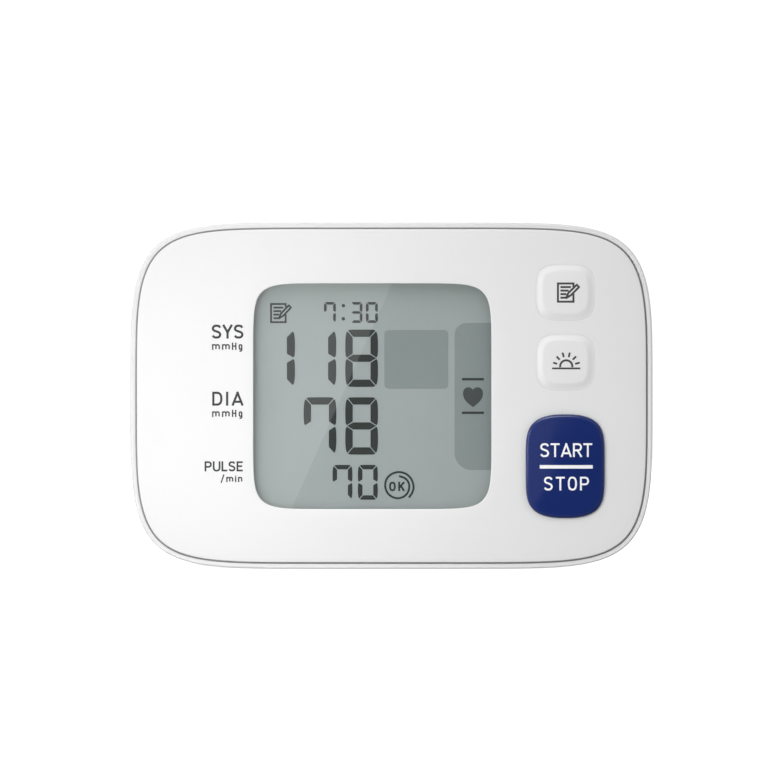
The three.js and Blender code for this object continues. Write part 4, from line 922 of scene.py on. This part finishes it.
# Letters: the width in cap heights, and strokes as a kind and the u and v of each point. u runs from
# 0 to 1 between the outer stems, and v between the base line's stroke and the cap line's. The kinds
# are b for a bar, l for a line that runs on by half its width at each end, s for a smooth line, e for
# a smooth one that runs on, and o for a smooth closed one.
LETTERS = {
    "S": (0.71, "s .97 .83 .8 .97 .5 1 .2 .96 .03 .78 .14 .61 .48 .52"
          " .84 .42 .98 .24 .83 .05 .5 0 .2 .03 .01 .16"),
    "Y": (0.70, "l 0 1 .5 .44, l 1 1 .5 .44, l .5 .42 .5 0"),
    "D": (0.73, "l 0 0 0 1, l 0 1 .45 1, l 0 0 .45 0,"
          " s .45 1 .72 .96 .93 .8 1 .5 .93 .2 .72 .04 .45 0"),
    "I": (0.0, "l 0 0 0 1"),
    "A": (0.82, "l 0 0 .5 1, l 1 0 .5 1, b .16 .24 .84 .24"),
    "P": (0.71, "l 0 0 0 1, l 0 1 .55 1, l 0 .44 .55 .44,"
          " s .55 1 .8 .96769231 .96 .84923077 1 .72 .96 .59076923 .8 .47230769 .55 .44"),
    "R": (0.70, "l 0 0 0 1, l 0 1 .55 1, l 0 .48 .55 .48,"
          " s .55 1 .8 .97 .96 .86 1 .74 .96 .62 .8 .51 .55 .48, l .52 .48 1 0"),
    "U": (0.76, "e 0 1 0 .65 0 .35 .07 .13 .27 .01 .5 -.01 .73 .01 .93 .13 1 .35 1 .65 1 1"),
    "L": (0.58, "l 0 0 0 1, l 0 0 1 0"),
    "E": (0.62, "l 0 0 0 1, l 0 1 1 1, l 0 .52 .86 .52, l 0 0 1 0"),
    "T": (0.70, "l 0 1 1 1, l .5 0 .5 1"),
    "O": (0.71, "o .5 1.01 .82 .94 .98 .72 1 .5 .98 .28 .82 .06 .5 -.01"
          " .18 .06 .02 .28 0 .5 .02 .72 .18 .94"),
    "K": (0.68, "l 0 0 0 1, l 1 1 .04 .34, l .36 .58 1 0"),
    "H": (0.62, "l 0 0 0 1, l 1 0 1 1, b 0 .52 1 .52"),
    "m": (1.08, "l 0 0 0 .74, s 0 .5 .07 .68 .25 .76 .43 .69 .5 .5 .5 .25 .5 0,"
          " s .5 .5 .57 .68 .75 .76 .93 .69 1 .5 1 .25 1 0"),
    "n": (0.66, "l 0 0 0 .74, s 0 .5 .16 .7 .5 .77 .88 .69 1 .5 1 .25 1 0"),
    "g": (0.53, "o .48 .76 .85 .68 .98 .4 .85 .1 .48 0 .12 .1 0 .4 .12 .68,"
          " s 1 .74 1 .4 1 0 .9 -.22 .5 -.33 .1 -.27"),
    "i": (0.0, "l 0 0 0 .72, b 0 .93 0 1.12"),
    "/": (0.62, "b 0 -.26 1 1.36"),
}


def photo_word(text, left, right, top, base, stroke, narrow=1.0):
    """Polygons of a word given by its extent in the photograph's pixels."""
    (x, high), (x1, low) = photo([(left, top), (right, base)])
    cap = high - low
    stroke *= PHOTO_MM
    widths = [max(LETTERS[c][0] * cap * narrow, stroke) for c in text]
    gap = (x1 - x - sum(widths)) / (len(text) - 1)
    polygons = []
    for c, width in zip(text, widths):
        for line in LETTERS[c][1].split(","):
            kind, numbers = line.split(maxsplit=1)
            points = [
                (x + stroke / 2 + u * (width - stroke), low + stroke / 2 + v * (cap - stroke))
                for u, v in pairs(numbers)
            ]
            if kind in "soe":
                points = smooth(points, closed=kind == "o")
            polygons += ribbon(points, stroke, stroke / 2 if kind in "le" else 0.0)
        x += width + gap
    return polygons


def photo_line(points, stroke, ends=0.0):
    return ribbon(photo(points), stroke * PHOTO_MM, ends * PHOTO_MM)


labels = []
for label in (
    ("SYS", 211.5, 243.6, 324.6, 338.6, 2.25),
    ("mmHg", 212.0, 242.4, 342.6, 349.9, 1.35),
    ("DIA", 212.2, 243.3, 391.7, 405.7, 2.2),
    ("mmHg", 212.0, 242.4, 409.8, 417.0, 1.35),
    ("PULSE", 204.6, 242.8, 461.3, 471.4, 1.75),
    ("/min", 220.5, 242.3, 475.6, 482.1, 1.3),
):
    labels += photo_word(*label)
piece("face_labels", plate(labels, face_z, MARK, 0.02), "monitor", INK)


def start_z(x, y):
    return START_TOP + START_DOME * (1 - START.share(x, y, -START_EDGE) ** 2)


start_marks = photo_word("START", 540.0, 592.2, 443.2, 457.0, 1.85, 0.93)
start_marks += photo_line("539.7 466.8 592.6 466.8", 3.5)
start_marks += photo_word("STOP", 543.7, 588.9, 476.7, 490.4, 1.85, 0.93)
start_plate = plate(start_marks, start_z, MARK, 0.04)
piece("start_stop_lettering", start_plate, "start_stop_button", WHITE_INK)


def memo(dx, dy, stroke, narrow=1.0):
    """A sheet of notes with a pencil, moved from its place in the display by pixels."""
    left = 270.9
    half = stroke / 2

    def line(points, ends=0.0):
        return photo_line([(left + (x - left) * narrow + dx, y + dy) for x, y in points], stroke, ends)

    sheet = pairs("286.4 307.4 286.4 303.9 270.9 303.9 270.9 322.1 286.4 322.1 286.4 314.2")
    pencil = pairs("279.2 318.4 281.3 313.4 289.7 305.2 291.9 307.5 284 315.5 279.2 318.4")
    out = []
    for side, ends in zip(zip(sheet, sheet[1:]), (0, half, half, half, 0)):
        out += line(side, ends)
    for x, y in pairs("283.9 307.5 281.6 311 279.4 314.5 278.6 318.1"):
        out += line([(273.4, y), (x, y)])
    for side in zip(pencil, pencil[1:]):
        out += line(side, half * 0.6)
    return out


def sunrise():
    out = photo_line("552 368.4 580.3 368.4", 1.7)
    centre = photo([(566.2, 366.4)])[0]
    out += ribbon(arc(*centre, 6.1 * PHOTO_MM, -8, 188), 2.0 * PHOTO_MM)
    for ray in (
        "553.1 362.6 557.1 363.9", "556.6 356.4 559.6 359.8", "562.4 352.6 563.8 357.2",
        "569.8 352.6 568.6 357.2", "576 356.4 572.6 359.8", "579.7 362.6 575.1 363.9",
    ):
        out += photo_line(ray, 1.9)
    return out


for name, icon in (("memory", memo(287.0, -20.4, 2.0)), ("morning", sunrise())):
    key_top = face_z(KEYS[name].x, KEYS[name].y) + KEY_RISE
    shape = plate(icon, lambda x, y: key_top, MARK, 0.02)
    piece(f"{name}_key_icon", shape, f"{name}_button", ICON_INK)

# Seven-segment digits, drawn in a box 32.8 wide and 57.4 high, from its top left corner.
DIGIT_W, DIGIT_H = 32.8, 57.4
ONE_STRETCH = 1.09
UPRIGHT = pairs("2.1 1.7 1.1 3.2 .4 6.5 0 12 0 20 .3 25.5 .8 26.9 1.6 28 7.5 24.1 7.5 7.8")
LEVEL = pairs("2.7 1 4.3 .2 8 0 24.8 0 28.5 .2 30.1 1 24.7 7.3 8.1 7.3")
SEGMENTS = {
    "a": LEVEL,
    "d": [(x, DIGIT_H - y) for x, y in LEVEL],
    "g": pairs("1.9 28.7 7.9 25.1 24.9 25.1 30.9 28.7 24.9 32.3 7.9 32.3"),
    "b": [(DIGIT_W - x, y) for x, y in UPRIGHT],
    "f": UPRIGHT,
    "c": [(DIGIT_W - x, DIGIT_H - y) for x, y in UPRIGHT],
    "e": [(x, DIGIT_H - y) for x, y in UPRIGHT],
}
DIGITS = {"0": "abcdef", "1": "bc", "3": "abcdg", "7": "abcf", "8": "abcdefg"}


def digit(character, right, top, height, shrink):
    """A digit by its right and top edges in the photograph's pixels; shrink shortens its segments."""
    scale = height / DIGIT_H
    out = []
    for name in DIGITS[character]:
        points = SEGMENTS[name]
        if character == "1":
            points = [(DIGIT_W + (x - DIGIT_W) * ONE_STRETCH, y) for x, y in points]
        mx = sum(x for x, _ in points) / len(points)
        my = sum(y for _, y in points) / len(points)
        sx, sy = (shrink, 1.0) if name in "adg" else (1.0, shrink)
        out.append(photo([
            (right + (mx + (x - mx) * sx - DIGIT_W) * scale, top + (my + (y - my) * sy) * scale)
            for x, y in points
        ]))
    return out


# Rows of digits: the top, height and shrink, and each digit with its right edge.
ROWS = (
    (329.5, 57.4, 1.0, (("1", 294.9), ("1", 336.2), ("8", 378.0))),
    (397.3, 57.4, 1.0, (("7", 336.3), ("8", 378.0))),
    (465.0, 34.9, 0.97, (("7", 352.4), ("0", 377.8))),
    (301.9, 20.9, 0.94, (("7", 335.8), ("3", 362.4), ("0", 377.8))),
)
marks = []
for top, height, shrink, digits in ROWS:
    for character, right in digits:
        marks += digit(character, right, top, height, shrink)
for y in (305.5, 318.7):
    centre = photo([(343.3, y)])[0]
    marks.append(arc(*centre, 1.75 * PHOTO_MM, 0, 345, 23))
marks += memo(0.0, 0.0, 1.85, 0.945)
for y in (379.2, 412.8):
    marks += photo_line([(462.1, y), (484.0, y)], 2.4)
SPIRAL = (
    "399.1 476.2 404.7 478.2 408.2 482 409.3 486.9 407.9 492.4 404 496.6 398.2 498.4 392.2 497"
    " 387.4 492.8 385.2 486.2 386.6 479.3 391.4 474.3 398.6 472.2 405.8 473.9 411.4 479.3"
    " 413.6 486.9 412.2 492.9 408.9 497.8"
)
marks += ribbon(smooth(photo(SPIRAL)), 2.05 * PHOTO_MM)
marks += photo_word("OK", 389.1, 404.6, 481.9, 491.3, 1.95)

HEART_SCALE = 7.83
half_heart = pairs("0 702 12 690 30 683 50 685 68 697 78 718 78 745 69 772 50 798 25 820 0 839")
heart = photo([
    (473.1 + side * x / HEART_SCALE, 300 + y / HEART_SCALE)
    for side, line in ((1, half_heart), (-1, half_heart[-2:0:-1]))
    for x, y in line
])


def rounded_box(left, right, top, low, radii):
    """A box of the photograph's pixels, with its corners' radii from the top left by the bottom."""
    a, b, c, d = radii
    points = []
    for x, y, start, radius in (
        (left + a, top + a, 90, a), (left + b, low - b, 180, b),
        (right - c, low - c, 270, c), (right - d, top + d, 0, d),
    ):
        points += [(px, -py) for px, py in arc(x, -y, radius, start, start + 90, 8)]
    return photo(points)


zones = [
    rounded_box(384.3, 448.4, 329.9, 388.8, (4.3, 4.3, 4.3, 4.3)),
    rounded_box(454.7, 496.0, 322.8, 470.1, (12.0, 17.0, 0.5, 0.5)),
]
ZONE_STEP = 0.01
for name, polygons, look, level, thickness, sink in (
    ("zones", zones, ZONE, FILM_TOP, ZONE_STEP, ZONE_STEP),
    ("segments", marks, SEGMENT, FILM_TOP + ZONE_STEP, 0.02, 0.005),
    ("heart", [heart], HEART_SEGMENT, FILM_TOP + ZONE_STEP, 0.02, 0.005),
):
    shape = plate(polygons, lambda x, y: level, thickness, sink)
    piece(f"display_{name}", shape, "monitor", look)

# Rear cover and battery cover

SHELL_LOW = -SKIRT_DEPTH - SEAT
BOSS_TOP = -7.9


def rear_profile(wall):
    steps = 12
    fall = -BACK_Z - SHOULDER_DEPTH - wall
    turns = [i / steps * math.pi / 2 for i in range(steps, -1, -1)]
    return [
        (wall + BACK_ROUND * (1 - math.cos(t)), -SHOULDER_DEPTH - fall * math.sin(t)) for t in turns
    ]


def rear_blank():
    rim = [(i, -RIM_SETBACK - drop) for i, drop in quarter(RIM_RADIUS, 5)]
    inner = RIM_WIDTH + SEAT
    rim.append((inner, -RIM_SETBACK - RIM_SLOPE * (inner - RIM_RADIUS)))
    return case_stack(rear_profile(0) + rim)


def shell_room(wall, top=SHELL_LOW):
    return case_stack(rear_profile(wall) + [(wall, top)])


def cover_zone(gap):
    return block(
        COVER_SPLIT_X + gap, HALF_WIDTH + 1, -HALF_HEIGHT - 1, HALF_HEIGHT + 1,
        BACK_Z - 2, -COVER_SPLIT_DEPTH - gap,
    )


def rear_cover():
    rim, ledge = RIM_WIDTH, RIM_WIDTH + SEAT - 0.02
    opening = [(ledge, SHELL_LOW), (ledge, JOINT_FLOOR - 0.05), (rim, JOINT_FLOOR), (rim, 1)]
    cover = carved(
        rear_blank(),
        ("DIFFERENCE", shell_room(REAR_WALL)),
        ("DIFFERENCE", case_stack(opening)),
        ("DIFFERENCE", cover_zone(0)),
    )
    left, right, low, high = BAY
    wall = BAY_WALL
    inside = shell_room(COVER_WALL + SEAT)
    tray = (left - wall, right + wall, low - wall, high + wall, COVER_INNER_Z + SEAT, BAY_TOP)
    walls = (
        (block(*tray), inside),
        (block(left - wall, left, -HALF_HEIGHT, HALF_HEIGHT, BACK_Z, BAY_TOP), inside),
        (
            block(
                COVER_SPLIT_X - wall, HALF_WIDTH, -HALF_HEIGHT, HALF_HEIGHT,
                -COVER_SPLIT_DEPTH, -COVER_SPLIT_DEPTH + wall,
            ),
            shell_room(REAR_WALL - SEAT),
        ),
        (bars(WELL_RADIUS + 0.9, SCREW_PLACES, BACK_Z, BOSS_TOP), shell_room(REAR_WALL / 2)),
    )
    for shape, room in walls:
        carve(cover, "UNION", carved(shape, ("INTERSECT", room)))
    carve(cover, "DIFFERENCE", block(left, right, low, high, BACK_Z - 1, BAY_TOP - wall))
    carve(cover, "DIFFERENCE", bars(WELL_RADIUS, SCREW_PLACES, BACK_Z - 1, WELL_DEPTH))
    carve(cover, "DIFFERENCE", bars(SHANK_RADIUS, SCREW_PLACES, WELL_DEPTH - 1, -7))
    half = TONGUE_HALF + SEAT
    x0, x1 = TONGUE_X[0] - SEAT, COVER_SPLIT_X + SEAT / 2
    notches = [
        block(x0, x1, y - half, y + half, TONGUE_BOTTOM - SEAT, -18.6) for y in TONGUE_PLACES
    ]
    carve(cover, "DIFFERENCE", together(*notches))
    return cover


def battery_cover():
    cuts = [("INTERSECT", cover_zone(SEAT)), ("DIFFERENCE", shell_room(COVER_WALL, -SKIRT_DEPTH))]
    for y in TONGUE_PLACES:
        tongue = block(*TONGUE_X, y - TONGUE_HALF, y + TONGUE_HALF, TONGUE_BOTTOM, COVER_INNER_Z)
        cuts.append(("UNION", tongue))
    rib = Oval(*GRIP_RIB, (3, 3), 40)
    for step in (-1, 0, 1):
        x = sum(CELL_X) / 2 + step * GRIP_RIB_PITCH
        cuts.append(("UNION", loft([
            rib.ring(-inset, BACK_Z + z)[:, [1, 0, 2]] + (x, 0, 0)
            for inset, z in ((0, 0.7), (0, -0.15), (0.1, -0.3), (0.22, -0.35))
        ])))
    return carved(rear_blank(), *cuts)


rear, lid = rear_cover(), battery_cover()
piece("rear_cover_moulding", rear, "monitor", REAR_WHITE, ["rear_cover"], sharp=30.0)
piece("battery_lid", lid, "battery_cover", REAR_WHITE, ["battery_cover"], sharp=30.0)

# Cells


def cell(x, y0, direction):
    r = CELL_RADIUS
    end = CELL_LENGTH
    shoulder = end - 0.9
    profile = [
        (0.02, 0.0), (r - 1.1, 0.0), (r - 0.9, 0.15), (r - 0.45, 0.15), (r - 0.12, 0.25), (r, 0.55),
        (r, shoulder - 0.6), (r - 0.1, shoulder - 0.25), (r - 0.4, shoulder - 0.05),
        (r - 0.9, shoulder - 0.1), (2.1, shoulder), (1.95, shoulder + 0.1), (1.9, end - 0.2),
        (1.75, end), (0.02, end),
    ]
    sides = 72
    t = np.arange(sides) / sides * 2 * math.pi
    return loft([
        np.column_stack([
            x + radius * np.cos(t),
            np.full(sides, y0 + direction * y),
            CELL_Z + radius * np.sin(t) * direction,
        ])
        for radius, y in profile
    ])


for index, (x, direction) in enumerate(zip(CELL_X, (1, -1))):
    node = f"battery_cell_{index + 1}"
    low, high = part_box(node)
    y0 = ((low[2] if direction > 0 else high[2]) - MID_Z) / MM
    ends = [MID_Z + (y0 + direction * d) * MM for d in (0.3, CELL_LENGTH - 1.3)]
    look = banded(f"cell_look_{index + 1}", (0.045, 0.050, 0.060), (0.6, 0.6, 0.6), *ends)
    piece(f"aaa_cell_{index + 1}", cell(x, y0, direction), "monitor", look, [node])

# Cuff


def ring_point(angle, depth):
    """(y, z) of the cuff's ring, moved inwards by depth. 0 degrees is up and 90 away from the case."""
    y, z = superellipse(1, 1, (RING_EXPONENT, RING_EXPONENT), np.radians(angle)).T
    ny = np.sign(y) * np.abs(y) ** (RING_EXPONENT - 1) / RING_HALF_HEIGHT
    nz = np.sign(z) * np.abs(z) ** (RING_EXPONENT - 1) / RING_HALF_DEPTH
    length = np.hypot(ny, nz)
    return (
        RING_Y + RING_HALF_HEIGHT * y - depth * ny / length,
        RING_Z - RING_HALF_DEPTH * z + depth * nz / length,
    )


def arc_length(angles):
    return run_of(np.column_stack(ring_point(angles, 0.0)))


def even_angles(start, end, count):
    fine = np.linspace(start, end, 2001)
    run = arc_length(fine)
    return np.interp(np.linspace(0, run[-1], count), run, fine)


def banded_angles(near, end_count, count):
    """Angles all round the cuff, closer together within near degrees of its two ends."""
    first = even_angles(CLOTH_FROM, CLOTH_FROM + near, end_count)[:-1]
    last = even_angles(CLOTH_TO - near, CLOTH_TO, end_count)[1:]
    return np.concatenate([first, even_angles(CLOTH_FROM + near, CLOTH_TO - near, count), last])


def sweep(section_at, angles):
    """A band along the ring, with each point's place in the weave. section_at(run, whole) gives a
    closed section of (x, depth)."""
    run = arc_length(angles)
    rings, weave = [], []
    for angle, at in zip(angles, run):
        section = np.array(section_at(at, run[-1]))
        y, z = ring_point(angle, section[:, 1])
        rings.append(np.column_stack([CUFF_X + section[:, 0], y, z]))
        along = np.full(len(section), at)
        weave.append(np.column_stack([run_of(section), along, np.zeros(len(section))]) * MM)
    return loft(rings), np.concatenate(weave)


def set_weave(obj, weave=None):
    """Stores where the warp and weft run; without them, they follow from the place round the ring."""
    mesh = obj.data
    if weave is None:
        co = np.array([v.co for v in mesh.vertices], float).reshape(-1, 3)
        y = (co[:, 2] - MID_Z) / MM - RING_Y
        z = -(co[:, 1] - FACE_Y) / MM - RING_Z
        turn = np.arctan2(-z / RING_HALF_DEPTH, y / RING_HALF_HEIGHT) - math.radians(95)
        radius = (RING_HALF_HEIGHT + RING_HALF_DEPTH) / 2 * MM
        weave = np.column_stack([co[:, 0], np.mod(turn, 2 * math.pi) * radius, np.zeros(len(co))])
    attribute = mesh.attributes.new("weave", "FLOAT_VECTOR", "POINT")
    attribute.data.foreach_set("vector", np.asarray(weave, np.float32).ravel())


def end_round(at, whole, radius):
    """How far a section is drawn in near either end of a band."""
    near = min(at, whole - at)
    if near >= radius:
        return 0.0
    return radius - math.sqrt(max(0.0, radius**2 - (radius - near) ** 2))


def span(half, count):
    """x from one side to the other, from -half to half."""
    return [-half + 2 * half * i / count for i in range(count + 1)]


def pillow(edge):
    """How far the cloth falls away at a distance from its side."""
    share = max(0.0, 1 - (edge - PILLOW_EDGE) / PILLOW_WIDTH)
    return PILLOW_DEPTH * share * share


def cloth_section(at, whole):
    draw = end_round(at, whole, 1.2)
    w = CUFF_WIDTH / 2 - draw
    corner = 1.2
    inner = LINING_OUTER - SEAT
    squeeze = 1 - 1.4 * draw / inner
    pucker = 0.05 * math.sin(2 * math.pi * at / 2.6)
    top = []
    for x in span(w - corner, 60):
        edge = CUFF_WIDTH / 2 - abs(x)
        groove = (0.30 + pucker) * math.exp(-(((edge - SEAM) / 0.55) ** 2))
        top.append((x, draw + squeeze * (pillow(edge) + groove)))
    right = []
    for k in range(1, 7):
        t = k / 6 * math.pi / 2
        fall = pillow(corner) + corner * (1 - math.cos(t))
        right.append((w - corner + corner * math.sin(t), draw + squeeze * fall))
    right.append((w, draw + squeeze * inner))
    return top + right + [(-x, depth) for x, depth in reversed(right)]


def cloth():
    cuts = []
    for half, outer in ((CUFF_WIDTH / 2 - CURLER_MARGIN, CURLER_OUTER), (BLADDER_HALF, BLADDER_OUTER)):
        inner = 6.0
        pocket = [(-half, inner), (-half, outer), (half, outer), (half, inner)]
        cuts.append(sweep(lambda at, whole: pocket, even_angles(110.0, 418.0, 120))[0])
    under_case = block(-80, 40, -60, -HALF_HEIGHT, -110, 0)  # flush with the side it stands on
    cuts += [under_case, cuff_holes(-27)]
    shape = sweep(cloth_section, banded_angles(2.6, 7, 230))[0]
    return carved(shape, *[("DIFFERENCE", cut) for cut in cuts])


def cuff_holes(low):
    """Holes for the cuff's two screws and its air stem."""
    screws = bars(2.3, [(CUFF_X - 9, 7.0), (CUFF_X + 9, 7.0)], low, -20)
    return together(screws, bars(AIR_RADIUS, [AIR_PLACE], low, -20))


cuff = cloth()
set_weave(cuff)
piece("cuff_cloth", cuff, "monitor", CLOTH, ["cuff_cover"], sharp=50.0)


def lining_section(at, whole):
    end = 0.8
    draw = end_round(at, whole, end)
    w = CUFF_WIDTH / 2 - draw
    ease = eased(min(1.0, min(at, whole - at) / 6.0))
    points = [(-w, LINING_OUTER), (w, LINING_OUTER)]
    for x in span(-w, 60):
        edge = CUFF_WIDTH / 2 - abs(x)
        rise = 0.35 + 0.45 * min(1.0, edge / 1.6) ** 0.5
        pad = 0.7 * ease * (1 - math.exp(-max(0.0, edge - SEAM) / 3.5))
        groove = 0.38 * math.exp(-((abs(edge - SEAM) / 0.6) ** 2))
        channel = 0.10 * ease * math.cos(2 * math.pi * at / 23.0) * max(0.0, 1 - (x / w) ** 4)
        thick = max(0.25, rise + pad - groove + channel) * (1 - 0.7 * draw / end)
        points.append((x, LINING_OUTER + thick))
    return points


lining = mesh_object("lining", sweep(lining_section, banded_angles(1.8, 6, 200))[0])
set_weave(lining)
piece("cuff_soft_lining", lining, "monitor", LINING, ["cuff_lining"], sharp=60.0)

STITCH_LIFT = np.array([0.14, 0.0, -0.06, -0.09, -0.06, 0.0, 0.14])


def stitches(x, depth, start, end, pitch, length):
    """Short threads along the cuff at x; each dips into the cloth at its ends."""
    angles = even_angles(start, end, 200)
    run = arc_length(angles)
    across = np.array([1.0, 0.0, 0.0])
    turns = np.arange(6) / 6 * 2 * math.pi
    shapes = []
    for i in range(int(run[-1] // pitch)):
        first = (i + 0.2) * pitch
        angle = np.interp(np.linspace(first, first + length, 7), run, angles)
        y, z = ring_point(angle, depth + STITCH_LIFT)
        centre = np.column_stack([np.full(7, CUFF_X + x), y, z])
        rings = []
        for k in range(7):
            along = centre[min(k + 1, 6)] - centre[max(k - 1, 0)]
            up = np.cross(along / np.linalg.norm(along), across)
            r = STITCH_RADIUS * (0.55 if k in (0, 6) else 1.0)
            round_it = np.outer(np.cos(turns), across) + np.outer(np.sin(turns), up)
            rings.append(centre[k] + r * round_it)
        shapes.append(loft(rings))
    return shapes


for name, slot, depth, margin, pitch, length in (
    ("cuff_seams", "cuff_cloth", pillow(SEAM) + 0.24, 2, 2.6, 1.8),
    ("lining_seams", "lining_cloth", 4.86, 3, 2.8, 1.9),
):
    threads = []
    for side in (-1, 1):
        x = side * (CUFF_WIDTH / 2 - SEAM)
        threads += stitches(x, depth, CLOTH_FROM + margin, CLOTH_TO - margin, pitch, length)
    piece(name, together(*threads), "monitor", THREAD, sharp=80.0)

# Strap: one length of webbing, sewn to the cuff at its root and free from there to its tip


def root_degrees(length):
    return math.degrees(length / RING_HALF_DEPTH)


def rounded_band(top, inner, w):
    """Closes a top line over a flat underside with small round edges."""
    r = 0.3
    out = []
    for x, d in top:
        near = w - abs(x)
        fall = r - math.sqrt(max(0.0, r * r - max(0.0, r - near) ** 2)) if near < r else 0.0
        out.append((x, d + fall))
    right = [(w, inner - r), (w - r * 0.3, inner - r * 0.3), (w - r, inner)]
    return out + right + [(-x, d) for x, d in reversed(right)]


def band_half(half, at, whole, tip, taper):
    """Half the width of a band whose tip is rounded over a length."""
    past = max(0.0, 1 - at / tip)
    w = half - half * taper * (1 - math.sqrt(1 - past**2))
    return max(0.5, w - end_round(at, whole, 0.5))


def strap_section(at, whole):
    w = band_half(STRAP_WIDTH / 2, at, whole, 14.0, 0.30)
    left = whole - at
    settle = max(0.0, 1 - left / 12.0)
    drop = 0.7 * eased(settle)
    pinch = 0.25 * math.exp(-((left - 2.0) / 0.8) ** 2) * settle
    points = []
    for x in span(w, 40):
        bead = 0.10 * math.exp(-(((w - abs(x)) - 1.2) / 0.5) ** 2)
        points.append((x, STRAP_OUTER + drop + pinch + bead))
    return rounded_band(points, STRAP_INNER + drop, w)


strap_angles = even_angles(STRAP_TIP, STRAP_ROOT + root_degrees(ROOT_OVERLAP), 150)
strap_shape, strap_weave = sweep(strap_section, strap_angles)
strap = mesh_object("strap", strap_shape)
set_weave(strap, strap_weave)
piece("cuff_webbing", strap, None, WEBBING, ["cuff_strap", "strap_root"], sharp=50.0)
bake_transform(strap)


def hook_section(at, whole):
    half = HOOK_WIDTH / 2
    return rounded_band([(x, -1.0) for x in span(half, 30)], -SEAT, half)


def tab_section(at, whole):
    w = band_half(TAB_WIDTH / 2, at, whole, 5.0, 0.4)
    outer = STRAP_OUTER - SEAT
    ridge = sum(0.5 * math.exp(-((at - share * whole) / 0.55) ** 2) for share in (0.35, 0.6))
    flat = TAB_WIDTH * 0.3 - 0.8
    points = []
    for x in span(w, 40):
        inside = 1 if abs(x) < flat else math.exp(-((abs(x) - flat) / 0.6) ** 2)
        points.append((x, outer - 1.0 - ridge * inside))
    return rounded_band(points, outer, w)


tab_angles = even_angles(
    STRAP_TIP + root_degrees(TAB_LAP - TAB_LENGTH), STRAP_TIP + root_degrees(TAB_LAP), 60,
)
hook = sweep(hook_section, even_angles(HOOK_FROM, HOOK_TO, 60))[0]
piece("hook_fastener", hook, "strap", HOOK, ["hook_pad"], sharp=50.0)
tab = sweep(tab_section, tab_angles)[0]
piece("pull_tab", tab, "strap", GREY, ["strap_tab"], sharp=50.0)

# Bracket between the case and the cuff


def bracket():
    front = BACK_Z - SEAT
    foot = front - 2.4
    flare, height = 1.2, 1.8
    profile = [(flare, RING_Z), (flare, foot)]
    for i in range(1, 7):
        t = i * math.pi / 12
        profile.append((flare - flare * math.sin(t), foot + height * (1 - math.cos(t))))
    profile.append((0, front))
    blank = Oval(18.2, 18.2, (5, 5), 160, CUFF_X).stack(profile)
    sides = 160
    y, z = ring_point(np.arange(sides) * 360 / sides, -SEAT)
    ring = loft([np.column_stack([np.full(sides, x), y, z]) for x in (-80, 40)])
    heads, shanks = [], []
    for i in range(4):
        low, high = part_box(f"bracket_screw_{i + 1}")
        at = [((low[0] + high[0]) / 2 / MM, ((low[2] + high[2]) / 2 - MID_Z) / MM)]
        head_z = (FACE_Y - high[1]) / MM + 0.8
        heads.append(bars(WELL_RADIUS, at, RING_Z, head_z + SEAT))
        shanks.append(bars(SHANK_RADIUS, at, head_z + SEAT / 2, -20))
    cuts = (ring, cuff_holes(RING_Z), together(*heads), together(*shanks))
    return carved(blank, *[("DIFFERENCE", cut) for cut in cuts])


piece("cuff_mount", bracket(), "monitor", WHITE, ["cuff_bracket"])

# Nodes that keep their CAD shape

SWITCHES = ("start_stop", "memory", "morning")
LOOKS = {
    GREY: ["lcd_holder", "cuff_curler", "release_valve"],
    RUBBER: ["zebra_strip_upper", "zebra_strip_lower"],
    BOARD: ["main_board"],
    BLACK: ["pump_head", "pressure_sensor", "main_chip", "filter_capacitor"]
    + [f"{name}_switch_base" for name in SWITCHES],
    STEEL: [
        "contact_positive", "contact_negative", "contact_bridge", "contact_spring_1",
        "contact_spring_2", "pump_motor", "pump_shaft", "valve_plunger",
    ]
    + [f"{name}_switch_stem" for name in SWITCHES]
    + [f"{kind}_screw_{i}" for kind in ("case", "bracket") for i in range(1, 5)],
    WHITE: ["air_manifold"],
    SILICONE: ["pump_hose", "valve_hose", "sensor_hose"],
    TPU: ["air_bladder"],
    RED_WIRE: ["motor_lead_positive", "valve_lead_positive"],
    BLACK_WIRE: ["motor_lead_negative", "valve_lead_negative"],
}
for look, names in LOOKS.items():
    for name in names:
        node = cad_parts[name]
        if not node.material_slots:
            node.data.materials.append(look)
        for slot in node.material_slots:
            slot.material = look

# Floor

floor_mesh = bpy.data.meshes.new("floor")
floor_mesh.from_pydata([(-3, -3, 0), (3, -3, 0), (3, 3, 0), (-3, 3, 0)], [], [(0, 1, 2, 3)])
floor = show(bpy.data.objects.new("floor", floor_mesh))
floor.location = (0, 0, -0.0001)
paper = moulded(
    "pale_floor", (0.90, 0.90, 0.90), 0.9, spread=0.004, grain=40.0, depth=0.0, spec=0.1,
)
paper_shader = paper.node_tree.nodes["Principled BSDF"]
paper_shader.inputs["Emission Color"].default_value = (1, 1, 1, 1)
paper_shader.inputs["Emission Strength"].default_value = 0.80
floor_mesh.materials.append(paper)
floor.visible_diffuse = False
floor.visible_glossy = False
floor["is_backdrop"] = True

low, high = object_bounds()
